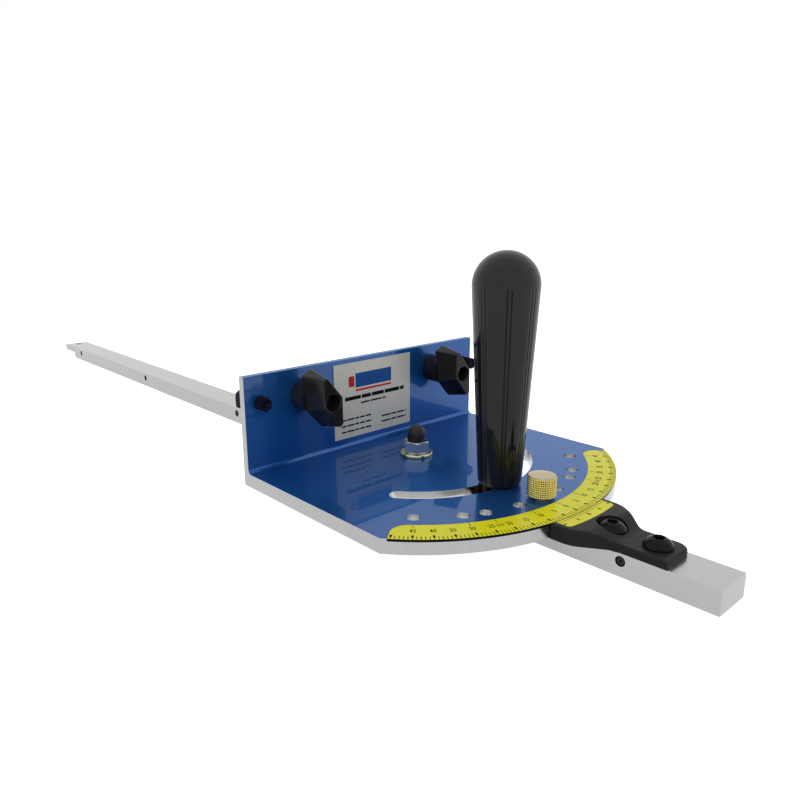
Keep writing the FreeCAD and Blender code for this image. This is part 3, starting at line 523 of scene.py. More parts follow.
def mark_blocks(angle, inner, outer, width):
    """Blocks along the radius: each corner is the middle line moved half the width aside."""
    angle = np.atleast_1d(np.asarray(angle, float))
    aside = polar(angle + 90, np.full(len(angle), width * MM / 2))
    near = polar(angle, np.full(len(angle), inner * MM))
    far = polar(angle, np.full(len(angle), outer * MM))
    plan = np.stack([near - aside, near + aside, far + aside, far - aside], axis=1)
    level = np.full(plan.shape[:2] + (1,), PLATE_TOP - INK_DEPTH)
    low = np.concatenate([plan, level], axis=2)
    return block_copies(low, low + [0, 0, 2 * INK_DEPTH])


ink = speckled("dark_ink", (0.003, 0.003, 0.002), (0.007, 0.007, 0.005), (0.5, 0.6),
               specular_ior_level=0.06)
SCALE_END = 50
STOP_ANGLES = np.array([-45, -30, -22.5, -10, 0, 10, 22.5, 30, 45])
# Of each mark: its inner and outer end from the pivot, and its width.
DEGREE_MARK, FIVE_MARK = (89.8, 92.4, 0.26), (89.0, 90.8, 0.85)
STOP_MARK, ZERO_MARK = (80.4, 83.3, 0.24), (88.3, 90.3, 0.35)
scale_marks = make_mesh("scale_marks", *joined(
    mark_blocks(np.arange(-SCALE_END, SCALE_END + 1), *DEGREE_MARK),
    mark_blocks(STOP_ANGLES, *STOP_MARK),
    mark_blocks(0, *ZERO_MARK),
    mark_blocks(np.arange(-SCALE_END, SCALE_END + 1, 5), *FIVE_MARK)))
add_piece("scale_marks", scale_marks, "head", ink)


# %% [markdown]
# The numbers are text turned into a mesh. Each is laid flat at its place, its foot towards
# the rim, and squeezed a little, because the printed digits are narrow. The two at half
# degrees are smaller, so they are a piece of their own.

# %% Numbers
DIGIT_SHARE = 0.72
DIGIT_SQUEEZE = 0.72
DIGIT_BOLDNESS = 0.008
NUMBER_RADIUS, WHOLE_HEIGHT, HALF_HEIGHT = 85.4, 2.7, 1.8


def text_mesh(word, height):
    """A word lying flat, with digits of a height in millimetres: size = height / share."""
    curve = bpy.data.curves.new("number", "FONT")
    curve.body = word
    curve.align_x, curve.align_y = "CENTER", "CENTER"
    curve.size = height * MM / DIGIT_SHARE
    curve.extrude = INK_DEPTH
    curve.offset = height * MM * DIGIT_BOLDNESS
    curve.resolution_u = 4
    text = new_object("number", curve)
    bpy.context.view_layer.update()
    shown = text.evaluated_get(bpy.context.evaluated_depsgraph_get())
    flat = bpy.data.meshes.new_from_object(shown)
    bpy.data.objects.remove(text)
    return flat


def numbers_mesh(name, words, angles, radius, height):
    """Text meshes, each carried by a matrix whose columns are right, up and normal."""
    work = bmesh.new()
    for word, angle in zip(words, angles):
        flat = text_mesh(str(word), height)
        outward = np.append(polar(angle, 1.0), 0)
        right = np.cross(-outward, [0, 0, 1]) * DIGIT_SQUEEZE
        place = outward * radius * MM + [0, 0, PLATE_TOP]
        flat.transform(matrix_of(right, -outward, [0, 0, 1], place))
        work.from_mesh(flat)
    bmesh.ops.remove_doubles(work, verts=work.verts, dist=SAME_PLACE)
    mesh = bpy.data.meshes.new(name)
    work.to_mesh(mesh)
    work.free()
    return mesh


HALF_SCALE = ["45", "40", "35", "30", "25", "22.5", "20", "15", "10", "5"]
half_angles = np.array([float(word) for word in HALF_SCALE])
scale_words = np.array(HALF_SCALE + ["0"] + HALF_SCALE[::-1])
scale_angles = np.concatenate([-half_angles, [0], half_angles[::-1]])
whole = scale_angles % 1 == 0
for name, chosen, height in (("scale_numbers", whole, WHOLE_HEIGHT),
                             ("scale_halves", ~whole, HALF_HEIGHT)):
    numbers = numbers_mesh(name, scale_words[chosen], scale_angles[chosen],
                           NUMBER_RADIUS, height)
    add_piece(name, numbers, "head", ink)


# %% [markdown]
# The vernier stays on the bar while the scale turns past it. Its marks stand nine tenths of
# a degree apart, so that each lines up with a mark of the scale at another tenth. The mark
# at nought is longer, with a broad foot, and the numbers stand a little closer.

# %% Vernier
VERNIER_STEP, VERNIER_NUMBER_STEP = 0.9, 0.873
VERNIER_MARK = (92.95, 94.6, 0.22)
VERNIER_ZERO, VERNIER_FOOT = (92.95, 95.0, 0.3), (95.0, 96.8, 0.85)
VERNIER_NUMBER_RADIUS, VERNIER_NUMBER_HEIGHT = 96.2, 1.4
VERNIER_WORDS = {-10: "60", -5: "30", 5: "30", 10: "60"}
vernier_steps = np.arange(-10, 11)
vernier_marks = make_mesh("vernier_marks", *joined(
    mark_blocks(vernier_steps[vernier_steps != 0] * VERNIER_STEP, *VERNIER_MARK),
    mark_blocks(0, *VERNIER_ZERO),
    mark_blocks(0, *VERNIER_FOOT)))
add_piece("vernier_marks", vernier_marks, "bar", ink)
word_angles = np.array(list(VERNIER_WORDS)) * VERNIER_NUMBER_STEP
vernier_numbers = numbers_mesh("vernier_numbers", VERNIER_WORDS.values(), word_angles,
                               VERNIER_NUMBER_RADIUS, VERNIER_NUMBER_HEIGHT)
add_piece("vernier_numbers", vernier_numbers, "bar", ink)


# %% [markdown]
# The bracket on the bar is a painted block. Its solid has the wide front, the slope and
# the rounded edges, so it stays. The paint is a fine, even black with a soft gloss.

# %% Bracket
bracket_paint = speckled(
    "black_paint", 0.016, 0.020, (0.24, 0.30), grain=2200, depth=0.003 * MM, ior=1.15)
dress("cursor_bracket", bracket_paint)


# %% [markdown]
# The handle is moulded plastic, polished like glass, with eight pairs of fine grooves.
# Cutting them with booleans would leave ragged edges, so the radius itself dips: a groove
# is a few columns of the grid that keep their distance in millimetres while the handle
# widens, and the other columns spread over the rest.

# %% Handle
HANDLE_FOOT_RADIUS, HANDLE_TOP_RADIUS, HANDLE_STRAIGHT = 9.3, 13.95, 83.7
HANDLE_EDGE = 0.8
HANDLE_BORE_RADIUS, HANDLE_BORE_DEPTH = 5.65, 25.0
GROOVE_PAIRS = 8
GROOVE_HALF_TURN = np.radians(3.6)
GROOVE_DEPTH, GROOVE_STOP = 0.4, 0.7
GROOVE_ASIDE = np.array([-0.36, -0.3, -0.24, -0.12, 0, 0.12, 0.24, 0.3, 0.36])
GROOVE_SHARE = np.array([0, 0.1, 0.6, 0.95, 1, 0.95, 0.6, 0.1, 0])


def handle_columns():
    """Angle, distance aside in millimetres and depth share of every column. A pair has one
    groove on each side of a plain column, and more plain columns up to the next pair."""
    pitch = 2 * np.pi / GROOVE_PAIRS
    groove = np.full(len(GROOVE_ASIDE), GROOVE_HALF_TURN)
    plain = np.linspace(2.2 * GROOVE_HALF_TURN, pitch - 2.2 * GROOVE_HALF_TURN, 9)
    angle = np.concatenate([-groove, [0.0], groove, plain])
    aside = np.concatenate([GROOVE_ASIDE, [0.0], GROOVE_ASIDE, plain * 0])
    share = np.concatenate([GROOVE_SHARE, [0.0], GROOVE_SHARE, plain * 0])
    every = np.arange(GROOVE_PAIRS)[:, None] * pitch + angle
    return every.ravel(), np.tile(aside, GROOVE_PAIRS), np.tile(share, GROOVE_PAIRS)


def handle_outline():
    """Rows (radius, height) from the roof of the bore, down, out round the foot, up the
    taper and over the dome. Also the first row outside and the height where grooves stop."""
    slope = np.linspace(0, 1, 60)
    widening = (HANDLE_TOP_RADIUS - HANDLE_FOOT_RADIUS) * slope
    taper = np.stack([HANDLE_FOOT_RADIUS + widening, HANDLE_STRAIGHT * slope], axis=1)
    dome = np.linspace(0, np.pi / 2, 26)[1:]
    crown = [0, HANDLE_STRAIGHT] + HANDLE_TOP_RADIUS * np.stack([np.cos(dome), np.sin(dome)], 1)
    stop = np.array([[HANDLE_TOP_RADIUS - 0.04, HANDLE_STRAIGHT - GROOVE_STOP]])
    past_stop = stop + [0.02, GROOVE_STOP / 2]
    bore = [(0, HANDLE_BORE_DEPTH), (HANDLE_BORE_RADIUS, HANDLE_BORE_DEPTH),
            (HANDLE_BORE_RADIUS, 0), (HANDLE_FOOT_RADIUS - HANDLE_EDGE, 0)]
    edge = [(HANDLE_FOOT_RADIUS - 0.35, 0.25), (HANDLE_FOOT_RADIUS, HANDLE_EDGE)]
    line = np.concatenate([bore, edge, taper[2:-1], stop, past_stop, taper[-1:], crown])
    return line, len(bore), stop[0, 1]


def handle_grid():
    """The radius dips by depth times share in a groove, and a column's angle is its own
    angle plus distance aside over radius."""
    line, first, stop = handle_outline()
    cut = (line[:, 1:] <= stop) & (np.arange(len(line)) >= first)[:, None]
    angle, aside, share = handle_columns()
    full = line[:, :1]
    around = angle + np.where(full > 1, aside / np.maximum(full, 1), 0)
    return round_points(full - GROOVE_DEPTH * share * cut, around, line[:, 1:])


handle_plastic = speckled(
    "polished_plastic", 0.006, 0.009, (0.05, 0.09),
    grain=500, depth=0.001 * MM, specular_ior_level=0.31)
finer_piece("handle_grip", handle_grid(), "clamp_handle", "handle", handle_plastic,
            sharp=50)


# %% [markdown]
# The brass knob has a square knurl: rows of tiny pyramids pressed in by a wheel. None is
# built by itself: the radius drops by the larger of two triangle waves, one round the knob
# and one along it. The finish darkens the valleys with painted shade, and the flat top is
# painted paler and greyer than the side, as a painted reflection.

# %% Brass knob
KNURL_ROUND, KNURL_ROWS, KNURL_DEPTH = 44, 9, 0.32
KNOB_RADIUS, KNOB_TOP, KNOB_SHOULDER = 6.06, 9.8, 1.1
SHOULDER_RADIUS, PIN_RADIUS, PIN_GRIP = 3.6, 2.8, 5.9


def triangle_wave(turns):
    """Nought in the middle of each pyramid and one in the valley between two."""
    return np.abs(2 * (turns % 1) - 1)


def brass_knob_grid():
    """radius = full radius - depth * max(wave round, wave along) on the side rows."""
    columns = KNURL_ROUND * 6
    angle = np.linspace(0, 2 * np.pi, columns, endpoint=False)
    along = np.linspace(0, 1, KNURL_ROWS * 6 + 1)
    low, high = KNOB_SHOULDER + 0.12, KNOB_TOP - 0.3
    side = np.stack([np.full(len(along), KNOB_RADIUS), low + (high - low) * along], axis=1)
    foot = [(0, PIN_GRIP), (PIN_RADIUS, PIN_GRIP), (PIN_RADIUS, 0),
            (SHOULDER_RADIUS - 0.1, 0), (SHOULDER_RADIUS, 0.1),
            (SHOULDER_RADIUS, KNOB_SHOULDER), (5.7, KNOB_SHOULDER)]
    crown = [(5.72, KNOB_TOP - 0.07), (5.5, KNOB_TOP), (3.2, KNOB_TOP - 0.02),
             (0, KNOB_TOP - 0.02)]
    line = np.concatenate([foot, side, crown])
    wave = np.zeros((len(line), columns))
    round_wave = triangle_wave(angle / (2 * np.pi) * KNURL_ROUND)
    along_wave = triangle_wave(along * KNURL_ROWS)
    wave[len(foot):-len(crown)] = np.maximum(round_wave[None, :], along_wave[:, None])
    return round_points(line[:, :1] - KNURL_DEPTH * wave, angle, line[:, 1:])


def knurl_colour(tree, drift, bright, centre):
    """Brown painted shade in the valleys, by the distance from the knob's axis, and a pale painted
    reflection on its top.
    """
    place = object_place(tree)
    reach = distance_from(tree, place, centre)
    valley = (KNOB_RADIUS - KNURL_DEPTH) * MM
    crest = (KNOB_RADIUS - 0.08) * MM
    below = calculate(tree, "LESS_THAN", place["Z"], centre[2] + (KNOB_TOP - 0.25) * MM)
    outside = calculate(tree, "GREATER_THAN", reach, valley - 0.03 * MM)
    # Painted shade: the valleys are darkened by how far in from the crests they lie.
    valley_shade = product(tree, spread(tree, reach, 1.0, 0.0, valley, crest), below, outside)
    valley_shade_brown = tint(tree, drift, (0.42, 0.33, 0.08), (0.48, 0.38, 0.11))
    # Painted reflection: the flat top is paler and greyer than the side.
    pale = tint(tree, drift, (0.43, 0.38, 0.22), (0.47, 0.42, 0.25))
    return mix(tree, below, pale, mix(tree, valley_shade, bright, valley_shade_brown))


def make_brass(name, knurl_centre=None):
    """Turned brass, and with the centre of a knurl, in the frame, its valleys darkened by painted
    shade.
    """
    material, tree = new_finish(name)
    drift, fine = noise(tree, 70), noise(tree, 800)
    colour = tint(tree, drift, (0.88, 0.77, 0.29), (0.94, 0.83, 0.34))
    if knurl_centre is not None:
        colour = knurl_colour(tree, drift, colour, knurl_centre)
    set_sockets(tree, metallic=1.0, base_color=colour,
                roughness=spread(tree, fine, 0.16, 0.24), normal=bump(tree, fine, 0.002 * MM))
    return material


brass = make_brass("turned_brass")
knurled_brass = make_brass("knurled_brass", centre_of("index_knob"))
finer_piece("brass_knob", brass_knob_grid(), "index_knob", "index", knurled_brass,
            sharp=20)


# %% [markdown]
# On the pivot sit a washer, a nut and a cap over the end of the stud. The corners of the
# nut are turned away at both faces, which is the smaller of a hexagon and a cone.

# %% Pivot washer and nut
STUD_RADIUS, FIT_GAP = 3.175, 0.05
WASHER_RADIUS, WASHER_GAP = 7.7, 0.3
NUT_APOTHEM, NUT_TURN = 11.11 / 2, -10
CONE_START, CONE_SLOPE = 0.97, 1.9


def height_of(node_name):
    """How tall a solid is, in millimetres."""
    low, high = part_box(node_name)
    return (high.z - low.z) / MM


def washer_grid(height):
    """A flat ring: its cross-section is a rectangle with rounded corners, closed."""
    inner, outer = STUD_RADIUS + WASHER_GAP, WASHER_RADIUS
    section = rounded([(inner, 0), (outer, 0), (outer, height), (inner, height)], height / 4)
    return carried_round(np.concatenate([section, section[:1]]))


def corner_cone(rise):
    """Rows of the cone that turns the corners of a hexagon away, up from its face."""
    return np.stack([NUT_APOTHEM * CONE_START + rise * CONE_SLOPE, rise], axis=1)


def nut_grid(height, bore, bevel=0.35):
    """A hexagon within the cones of its two faces, from its bore round to its bore."""
    cone = corner_cone(np.linspace(0, 0.9, 8))
    foot = [(bore, bevel), (bore + bevel, 0)]
    top = [(bore + bevel, height), (bore, height - bevel), (bore, bevel)]
    rows = np.concatenate([foot, cone, cone[::-1] * [1, -1] + [0, height], top])
    return carried_round(rows, flats=NUT_APOTHEM)


yellow_zinc = speckled(
    "yellow_zinc", (0.60, 0.60, 0.38), (0.68, 0.68, 0.44), (0.12, 0.18),
    grain=500, depth=0.001 * MM, metallic=1.0)
zinc = speckled(
    "bright_zinc", (0.40, 0.41, 0.44), (0.46, 0.47, 0.50), (0.10, 0.16),
    grain=600, depth=0.001 * MM, metallic=1.0)
finer_piece("washer", washer_grid(height_of("pivot_washer")), "pivot_washer", "bar",
            yellow_zinc)
finer_piece("nut", nut_grid(height_of("pivot_nut"), STUD_RADIUS + FIT_GAP), "pivot_nut", "bar",
            zinc, turn=NUT_TURN)


# %% [markdown]
# The cap is soft and dull, and the ring under the handle is blackened. The handle's stud
# is seen as a dull brown in the bright walls of the slot, so it has a steel of its own,
# while the other studs are zinc plated.

# %% Cap, clamp ring and studs
CAP_RADIUS, CAP_STRAIGHT = 4.3, 3.2


def cap_grid(hollow_top):
    """A dome on a short straight side, and a round hollow for the end of the stud."""
    dome = np.linspace(0, np.pi / 2, 18)
    outer = [0, CAP_STRAIGHT] + CAP_RADIUS * np.stack([np.cos(dome), np.sin(dome)], axis=1)
    hollow = STUD_RADIUS + FIT_GAP
    inner = [(0, hollow_top), (hollow, hollow_top), (hollow, 0),
             (CAP_RADIUS - 0.35, 0), (CAP_RADIUS - 0.08, 0.1), (CAP_RADIUS, 0.35)]
    return carried_round(np.concatenate([inner, outer]), 64)


cap_rubber = speckled(
    "cap_rubber", 0.009, 0.014, (0.4, 0.52), grain=1500, specular_ior_level=0.3)
dark_steel = speckled(
    "blackened_steel", 0.005, 0.009, (0.14, 0.20), grain=1200, depth=0.002 * MM, ior=1.2)
dull_steel = speckled(
    "dull_steel", (0.060, 0.042, 0.018), (0.080, 0.055, 0.022), (0.30, 0.40),
    grain=900, depth=0.002 * MM, metallic=1.0)
hollow = (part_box("pivot_stud")[1].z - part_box("pivot_cap")[0].z) / MM
finer_piece("cap", cap_grid(hollow), "pivot_cap", "bar", cap_rubber)
finer_piece("clamp_ring", washer_grid(height_of("clamp_washer")), "clamp_washer", "bar",
            dark_steel)
dress("pivot_stud", zinc)
dress("clamp_stud", dull_steel)
dress("index_pin", zinc)


# %% [markdown]
# Two button screws with a six-sided socket hold the bracket. The outline goes over the
# head and the rim of the socket and down its wall, and only the rows of the socket are
# limited by the six flats. The places are read from the solids of the same screws.

# %% Button screws
BUTTON_HEIGHT, BUTTON_RIM, BUTTON_TURN = 4.3, 1.2, 12
SOLID_GAP = 3 * MM


def round_rows(rows):
    """Points (radius, height) as rows that no flats limit."""
    rows = np.asarray(rows, float)
    return np.column_stack([rows, np.full(len(rows), FREE)])


def socket_rows(key, depth, top):
    """Rows from the rim of a socket to the middle of its floor. A row with a free radius
    reaches out to its flats, and key is the distance from the axis to them."""
    floor = top - depth - 0.3
    return [(key * 1.18, top, FREE), (FREE, top - 0.1, key * 1.02),
            (FREE, top - 0.25, key), (FREE, top - depth, key),
            (key * 0.5, floor, FREE), (0, floor, FREE)]


def button_grid():
    """Shank, underside, straight rim and dome of a button head, then its socket.
    The dome is part of a ball: height = top - ball + sqrt(ball^2 - radius^2)."""
    shank, reach, head, key = STUD_RADIUS, 8.0, 5.55, 2.0
    rise = BUTTON_HEIGHT - BUTTON_RIM
    ball = (head ** 2 + rise ** 2) / (2 * rise)
    over = np.linspace(head - 0.15, key * 1.25, 16)
    level = BUTTON_HEIGHT - ball + np.sqrt(ball ** 2 - over ** 2)
    lower = [(0, -reach), (shank - 0.4, -reach), (shank, -reach + 0.4), (shank, 0),
             (head - 0.25, 0), (head, 0.2), (head, BUTTON_RIM - 0.15)]
    dome = np.stack([over, level], axis=1)
    rows = np.concatenate([round_rows(lower), round_rows(dome), socket_rows(key, 1.8, level[-1])])
    return carried_round(rows)


def solid_boxes(node_name, axis):
    """Low corner, middle and high corner of each separate solid of a node. The points are
    split where they leave a gap along the axis."""
    vertices = NODES[node_name].data.vertices
    points = np.zeros(len(vertices) * 3)
    vertices.foreach_get("co", points)
    points = points.reshape(-1, 3)
    points = points[np.argsort(points[:, axis])]
    groups = np.split(points, np.flatnonzero(np.diff(points[:, axis]) > SOLID_GAP) + 1)
    low = np.array([group.min(axis=0) for group in groups])
    high = np.array([group.max(axis=0) for group in groups])
    return low, (low + high) / 2, high


_, middle, high = solid_boxes("cursor_screws", 1)
button_places = np.column_stack([middle[:, :2], high[:, 2] - BUTTON_HEIGHT * MM])
soften_shading(finer_piece("button_screws", button_grid(), "cursor_screws", "bar", dark_steel,
                           button_places, turn=BUTTON_TURN))


# %% [markdown]
# Five set screws sit in the side of the bar. Each shows a grey end inside a deep chamfer,
# which stays dark because it faces the wall of its own hole.

# %% Set screws
def set_screw_grid():
    """A short plug, outer end at nought, with a deep chamfer and a small socket."""
    radius, length, key = 2.0, 6.0, 0.55
    lower = [(0, -length), (radius - 0.4, -length), (radius, -length + 0.4),
             (radius, -1.8), (radius - 0.42, -0.15), (radius - 0.55, 0)]
    rows = np.concatenate([round_rows(lower), socket_rows(key, 0.8, 0)])
    return carried_round(rows, 48)


screw_steel = speckled(
    "screw_steel", 0.024, 0.034, (0.30, 0.40), grain=1500, depth=0.003 * MM, ior=1.2)
low, middle, _ = solid_boxes("bar_set_screws", 1)
set_places = np.column_stack([low[:, 0], middle[:, 1:]])
finer_piece("set_screws", set_screw_grid(), "bar_set_screws", "bar", screw_steel,
            set_places, axes=LEFT)
print("screws in the side of the bar:", len(set_places))


# %% [markdown]
# Four bolts of black steel go through the flange; the faint blue in their colour is a
# painted reflection of the blue flange. A thread is a groove that climbs as it goes round,
# so its depth depends on the height less the share of a turn. On a grid that is one
# triangle wave, with eight rows to a turn.

# %% Bolts
THREAD_PITCH, THREAD_DEPTH = 1.27, 0.55
BOLT_HEAD, BOLT_TURN = 4.4, 30


def bolt_grid(length, columns=72):
    """Six-sided head below 0, thread up to length, with a coned end.
    Thread radius = full radius - depth * triangle wave(height / pitch - angle / turn)."""
    cone = corner_cone(np.linspace(0, 0.8, 7)) - [0, BOLT_HEAD]
    head_rows = [(0, -BOLT_HEAD), *cone, (FREE, -0.02), (STUD_RADIUS + 0.2, 0)]
    head = carried_round(head_rows, columns, NUT_APOTHEM)
    angle = np.linspace(0, 2 * np.pi, columns, endpoint=False)
    level = np.arange(0.6, length - 0.9, THREAD_PITCH / 8)[:, None]
    wave = triangle_wave(level / THREAD_PITCH - angle / (2 * np.pi))
    ease = np.clip(length - 0.6 - level, 0, 1)
    groove = THREAD_DEPTH * np.clip(wave * 1.25 - 0.12, 0, 1)
    thread = round_points(STUD_RADIUS - groove * ease - 0.35 * (1 - ease), angle, level)
    tip = [(STUD_RADIUS - 0.25, length - 0.3), (STUD_RADIUS - 0.6, length), (2.1, length),
           (1.9, length - 0.25), (0, length - 1.2)]
    return np.concatenate([head, thread, carried_round(tip, columns)])


def bolt_parts(node_name):
    """Points and faces of every bolt of a node, each as long as its own solid."""
    parts = []
    for low, middle, high in zip(*solid_boxes(node_name, 0)):
        grid = bolt_grid((high[1] - low[1]) / MM - BOLT_HEAD)
        place = [middle[0], high[1] - BOLT_HEAD * MM, middle[2]]
        points = placed(grid, place, FRONT, BOLT_TURN)[0]
        parts.append((points, grid_faces(*grid.shape[:2])))
    return joined(*parts)


# Painted reflection: the faint blue in the near-black colour stands for the blue flange mirrored
# in the bolts.
black_steel_painted_blue = speckled(
    "black_steel_painted_blue", (0.003, 0.003, 0.008), (0.004, 0.005, 0.018), (0.10, 0.16),
    grain=900, depth=0.001 * MM, ior=1.12)
for name, node_name in (("end_screws", "end_bolts"), ("fence_screws", "fence_bolts")):
    mesh = make_mesh(name, *bolt_parts(node_name))
    add_piece(name, mesh, "head", black_steel_painted_blue, [node_name])


# %% [markdown]
# The two wing knobs are moulded: a round boss, then slanted wings whose outline changes
# from the back to the front. The shape is a loft between two outlines. Both have six
# corners of as many points, so they match column by column, and a few rows round the edges.

# %% Wing knobs
BOSS_RADIUS, BOSS_LENGTH, KNOB_LENGTH = 7.0, 10.0, 23.2
SEAT_RADIUS, SEAT_DEPTH, FRONT_HOLE_RADIUS = 5.05, 13.0, 3.75
WING_ROUND, WING_EDGE = 0.8, 0.7
# Half across, end of the long side, waist, start of the slope, tip, and tip sideways.
WING_BACK = (7.7, 11.6, 5.6, 5.3, 14.1, 2.6)
WING_FRONT = (5.3, 10.9, 5.3, 2.0, 11.8, 3.1)


def wing_outline(half, side, waist, step, tip, tip_side):
    """Three corners and the same three turned half round, all rounded."""
    corners = np.array([[-half, side], [-waist, -step], [tip_side, -tip]])
    return rounded(np.concatenate([corners, -corners]), WING_ROUND, 4, 8)


def outline_row(outline, inset, level):
    """An outline moved inwards, towards the axis, at a level."""
    size = np.linalg.norm(outline, axis=1, keepdims=True)
    return np.column_stack([outline * (1 - inset / size), np.full(len(outline), level)])


def knob_grid():
    """Rows of one closed line: hole, front face, wings, back face, boss, seat of the insert.
    The wings' edges are quarter rounds: edge * (1 - sin) inwards, edge * (1 - cos) along."""
    back, front = wing_outline(*WING_BACK), wing_outline(*WING_FRONT)
    angle = np.arctan2(back[:, 1], back[:, 0])
    hole = [(SEAT_RADIUS, SEAT_DEPTH), (FRONT_HOLE_RADIUS, SEAT_DEPTH),
            (FRONT_HOLE_RADIUS, KNOB_LENGTH - 0.4), (FRONT_HOLE_RADIUS + 0.35, KNOB_LENGTH)]
    boss = [(BOSS_RADIUS + 0.5, BOSS_LENGTH), (BOSS_RADIUS + 0.12, BOSS_LENGTH - 0.12),
            (BOSS_RADIUS, BOSS_LENGTH - 0.5), (BOSS_RADIUS, 0.4), (BOSS_RADIUS - 0.4, 0),
            (SEAT_RADIUS, 0), (SEAT_RADIUS, SEAT_DEPTH)]
    quarter = np.linspace(0, np.pi / 2, 5)
    inset, along = WING_EDGE * (1 - np.sin(quarter)), WING_EDGE * (1 - np.cos(quarter))
    rows = [round_points(radius, angle, level) for radius, level in hole]
    rows += [outline_row(front, a, KNOB_LENGTH - b) for a, b in zip(inset, along)]
    rows += [outline_row(back, a, BOSS_LENGTH + b) for a, b in zip(inset[::-1], along[::-1])]
    rows += [round_points(radius, angle, level) for radius, level in boss]
    return np.stack(rows)


knob_plastic = speckled(
    "moulded_plastic", 0.009, 0.014, (0.16, 0.22),
    grain=1500, depth=0.003 * MM, specular_ior_level=0.22)
for side in ("left", "right"):
    low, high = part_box(f"knob_insert_{side}")
    place = [(low.x + high.x) / 2, high.y, (low.z + high.z) / 2]
    soften_shading(finer_piece(
        f"wing_knob_{side}", knob_grid(), f"fence_knob_{side}", f"{side}_knob", knob_plastic,
        place, axes=FRONT, sharp=50))
    dress(f"knob_insert_{side}", brass)
dress("handle_insert", brass)


# %% [markdown]
# The label is a thin printed plate. It carries only plain fields of colour and broken
# rules, and no writing. The plate keeps its solid, and the fields are thin blocks in front.

# %% Label
label_foil = speckled(
    "label_foil", (0.50, 0.49, 0.445), (0.54, 0.53, 0.48), (0.3, 0.42),
    grain=700, depth=0.004 * MM, metallic=0.2)
dress("label_plate", label_foil)
blue_ink = speckled("blue_ink", (0.005, 0.06, 0.24), (0.008, 0.07, 0.28), (0.4, 0.5),
                    specular_ior_level=0.15)
red_ink = speckled("red_ink", (0.45, 0.008, 0.012), (0.52, 0.012, 0.016), (0.4, 0.5),
                   specular_ior_level=0.15)


def label_fields(name, fields, material):
    """Thin blocks; a field is left, right, bottom and top as shares of the label."""
    low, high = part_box("label_plate")
    corner = np.array([low.x, low.z])
    size = np.array([high.x, high.z]) - corner
    shares = np.array(fields)[:, [0, 2, 1, 2, 1, 3, 0, 3]].reshape(-1, 4, 2)
    back = np.insert(corner + shares * size, 1, low.y + INK_DEPTH, axis=2)
    mesh = make_mesh(name, *block_copies(back, back - [0, 2 * INK_DEPTH, 0]))
    add_piece(name, mesh, "head", material)


def dashed_rule(left, right, bottom, height, lengths, gap=0.012):
    """A broken rule: dashes of the given lengths, repeated from left to right."""
    dashes, start, turn = [], left, 0
    while start < right:
        end = min(start + lengths[turn % len(lengths)], right)
        dashes.append((start, end, bottom, bottom + height))
        start, turn = end + gap, turn + 1
    return dashes


FINE_HEIGHT = 0.022
label_fields("label_blue", [(0.265, 0.735, 0.66, 0.85)], blue_ink)
label_fields("label_red", [(0.18, 0.25, 0.68, 0.82), (0.265, 0.735, 0.608, 0.634)], red_ink)
heavy_rule = dashed_rule(0.13, 0.91, 0.50, 0.05, (0.20, 0.12, 0.16))
fine_rules = dashed_rule(0.33, 0.66, 0.43, FINE_HEIGHT, (0.11, 0.15))
for level in (0.235, 0.155, 0.075):
    fine_rules += dashed_rule(0.08, 0.46, level, FINE_HEIGHT, (0.06, 0.09, 0.05))
for level in (0.175, 0.10):
    fine_rules += dashed_rule(0.60, 0.94, level, FINE_HEIGHT, (0.12, 0.07, 0.10))
label_fields("label_rules", heavy_rule, ink)
label_fields("label_fine_rules", fine_rules, ink)


# %% [markdown]
# The ground is white with hardly any shadow. The floor is a pale sheet just under the bar.
# It adds its own light where the camera sees it, so it turns white but keeps a soft shadow.
# In a mirroring surface it's a dim sheet with light of its own, because the shadow would
# show there as a dark patch. The world around is white as well.

# %% Floor and light
FLOOR_REACH, FLOOR_DROP = 6.0, 0.2 * MM
FLOOR_GLOW, MIRRORED_GLOW = 0.9, 0.8
WORLD_LIGHT = 0.8


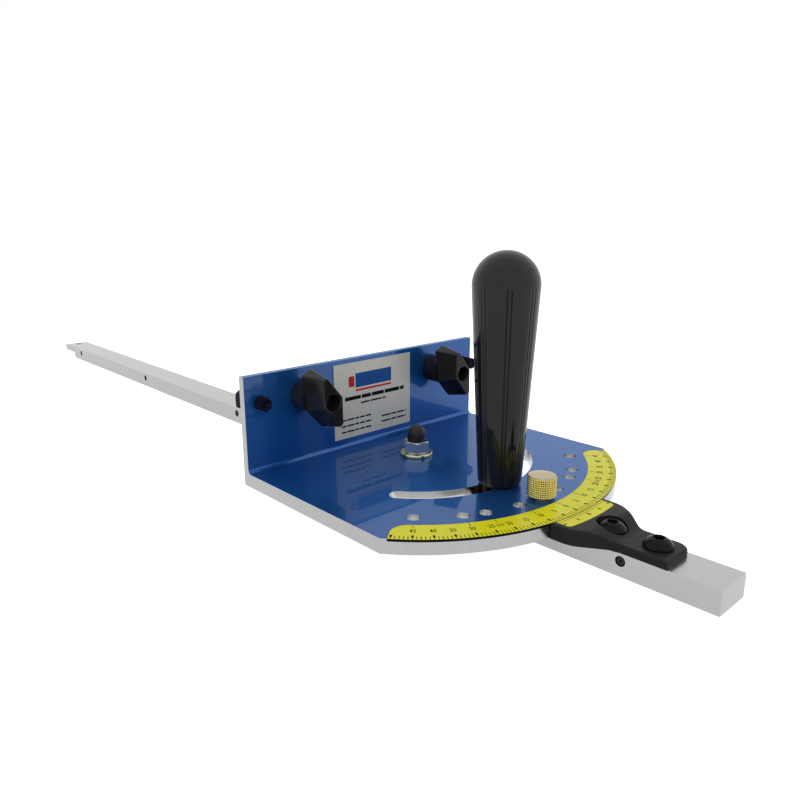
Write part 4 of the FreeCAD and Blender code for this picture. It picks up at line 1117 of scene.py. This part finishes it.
def mirror_rays(tree, rays):
    """One for what is seen in a mirroring or a clear surface."""
    return calculate(tree, "MAXIMUM", rays["Is Glossy Ray"], rays["Is Transmission Ray"])


def make_floor():
    """A square sheet whose own light depends on the kind of ray that meets it."""
    corners = np.array([[-1, -1, 0], [1, -1, 0], [1, 1, 0], [-1, 1, 0]]) * FLOOR_REACH
    mesh = bpy.data.meshes.new("floor")
    mesh.from_pydata((corners - [0, 0, FLOOR_DROP]).tolist(), [], [(0, 1, 2, 3)])
    floor = new_object("floor", mesh)
    material, tree = new_finish("pale_floor")
    grain = noise(tree, 30)
    rays = add_node(tree, "LightPath", {})
    mirrored = mirror_rays(tree, rays)
    pale = tint(tree, grain, 0.79, 0.81)
    dim = tint(tree, grain, 0.24, 0.26)
    direct = calculate(tree, "MULTIPLY", rays["Is Camera Ray"], FLOOR_GLOW)
    set_sockets(tree, roughness=0.9, specular_ior_level=0.0, emission_color=(1, 1, 1),
                base_color=mix(tree, mirrored, pale, dim),
                emission_strength=calculate(tree, "MULTIPLY_ADD", mirrored, MIRRORED_GLOW, direct))
    mesh.materials.append(material)


def make_world():
    """Full white for the camera and for reflections, a little less as light."""
    world = bpy.data.worlds.new("studio")
    bpy.context.scene.world = world
    world.use_nodes = True
    tree = world.node_tree
    background = tree.nodes["Background"]
    background.inputs["Color"].default_value = (1, 1, 1, 1)
    rays = add_node(tree, "LightPath", {})
    seen = calculate(tree, "MAXIMUM", rays["Is Camera Ray"], mirror_rays(tree, rays))
    feed(tree, background.inputs["Strength"], mix(tree, seen, WORLD_LIGHT, 1.0, "FLOAT"))


def add_lamp(name, place, size, power):
    """A square soft light that faces the head of the gauge."""
    data = bpy.data.lights.new(name, "AREA")
    data.size = size
    data.energy = power
    lamp = new_object(name, data)
    lamp.visible_glossy = False
    back = unit(place)
    side = unit(np.cross([0, 0, 1], back))
    lamp.matrix_world = matrix_of(side, np.cross(back, side), back, place)


make_floor()
make_world()
add_lamp("key", (-0.3, -1.2, 1.3), 0.8, 6.0)
bpy.context.scene.view_settings.view_transform = "Standard"
print("floor, world and lamp are set")
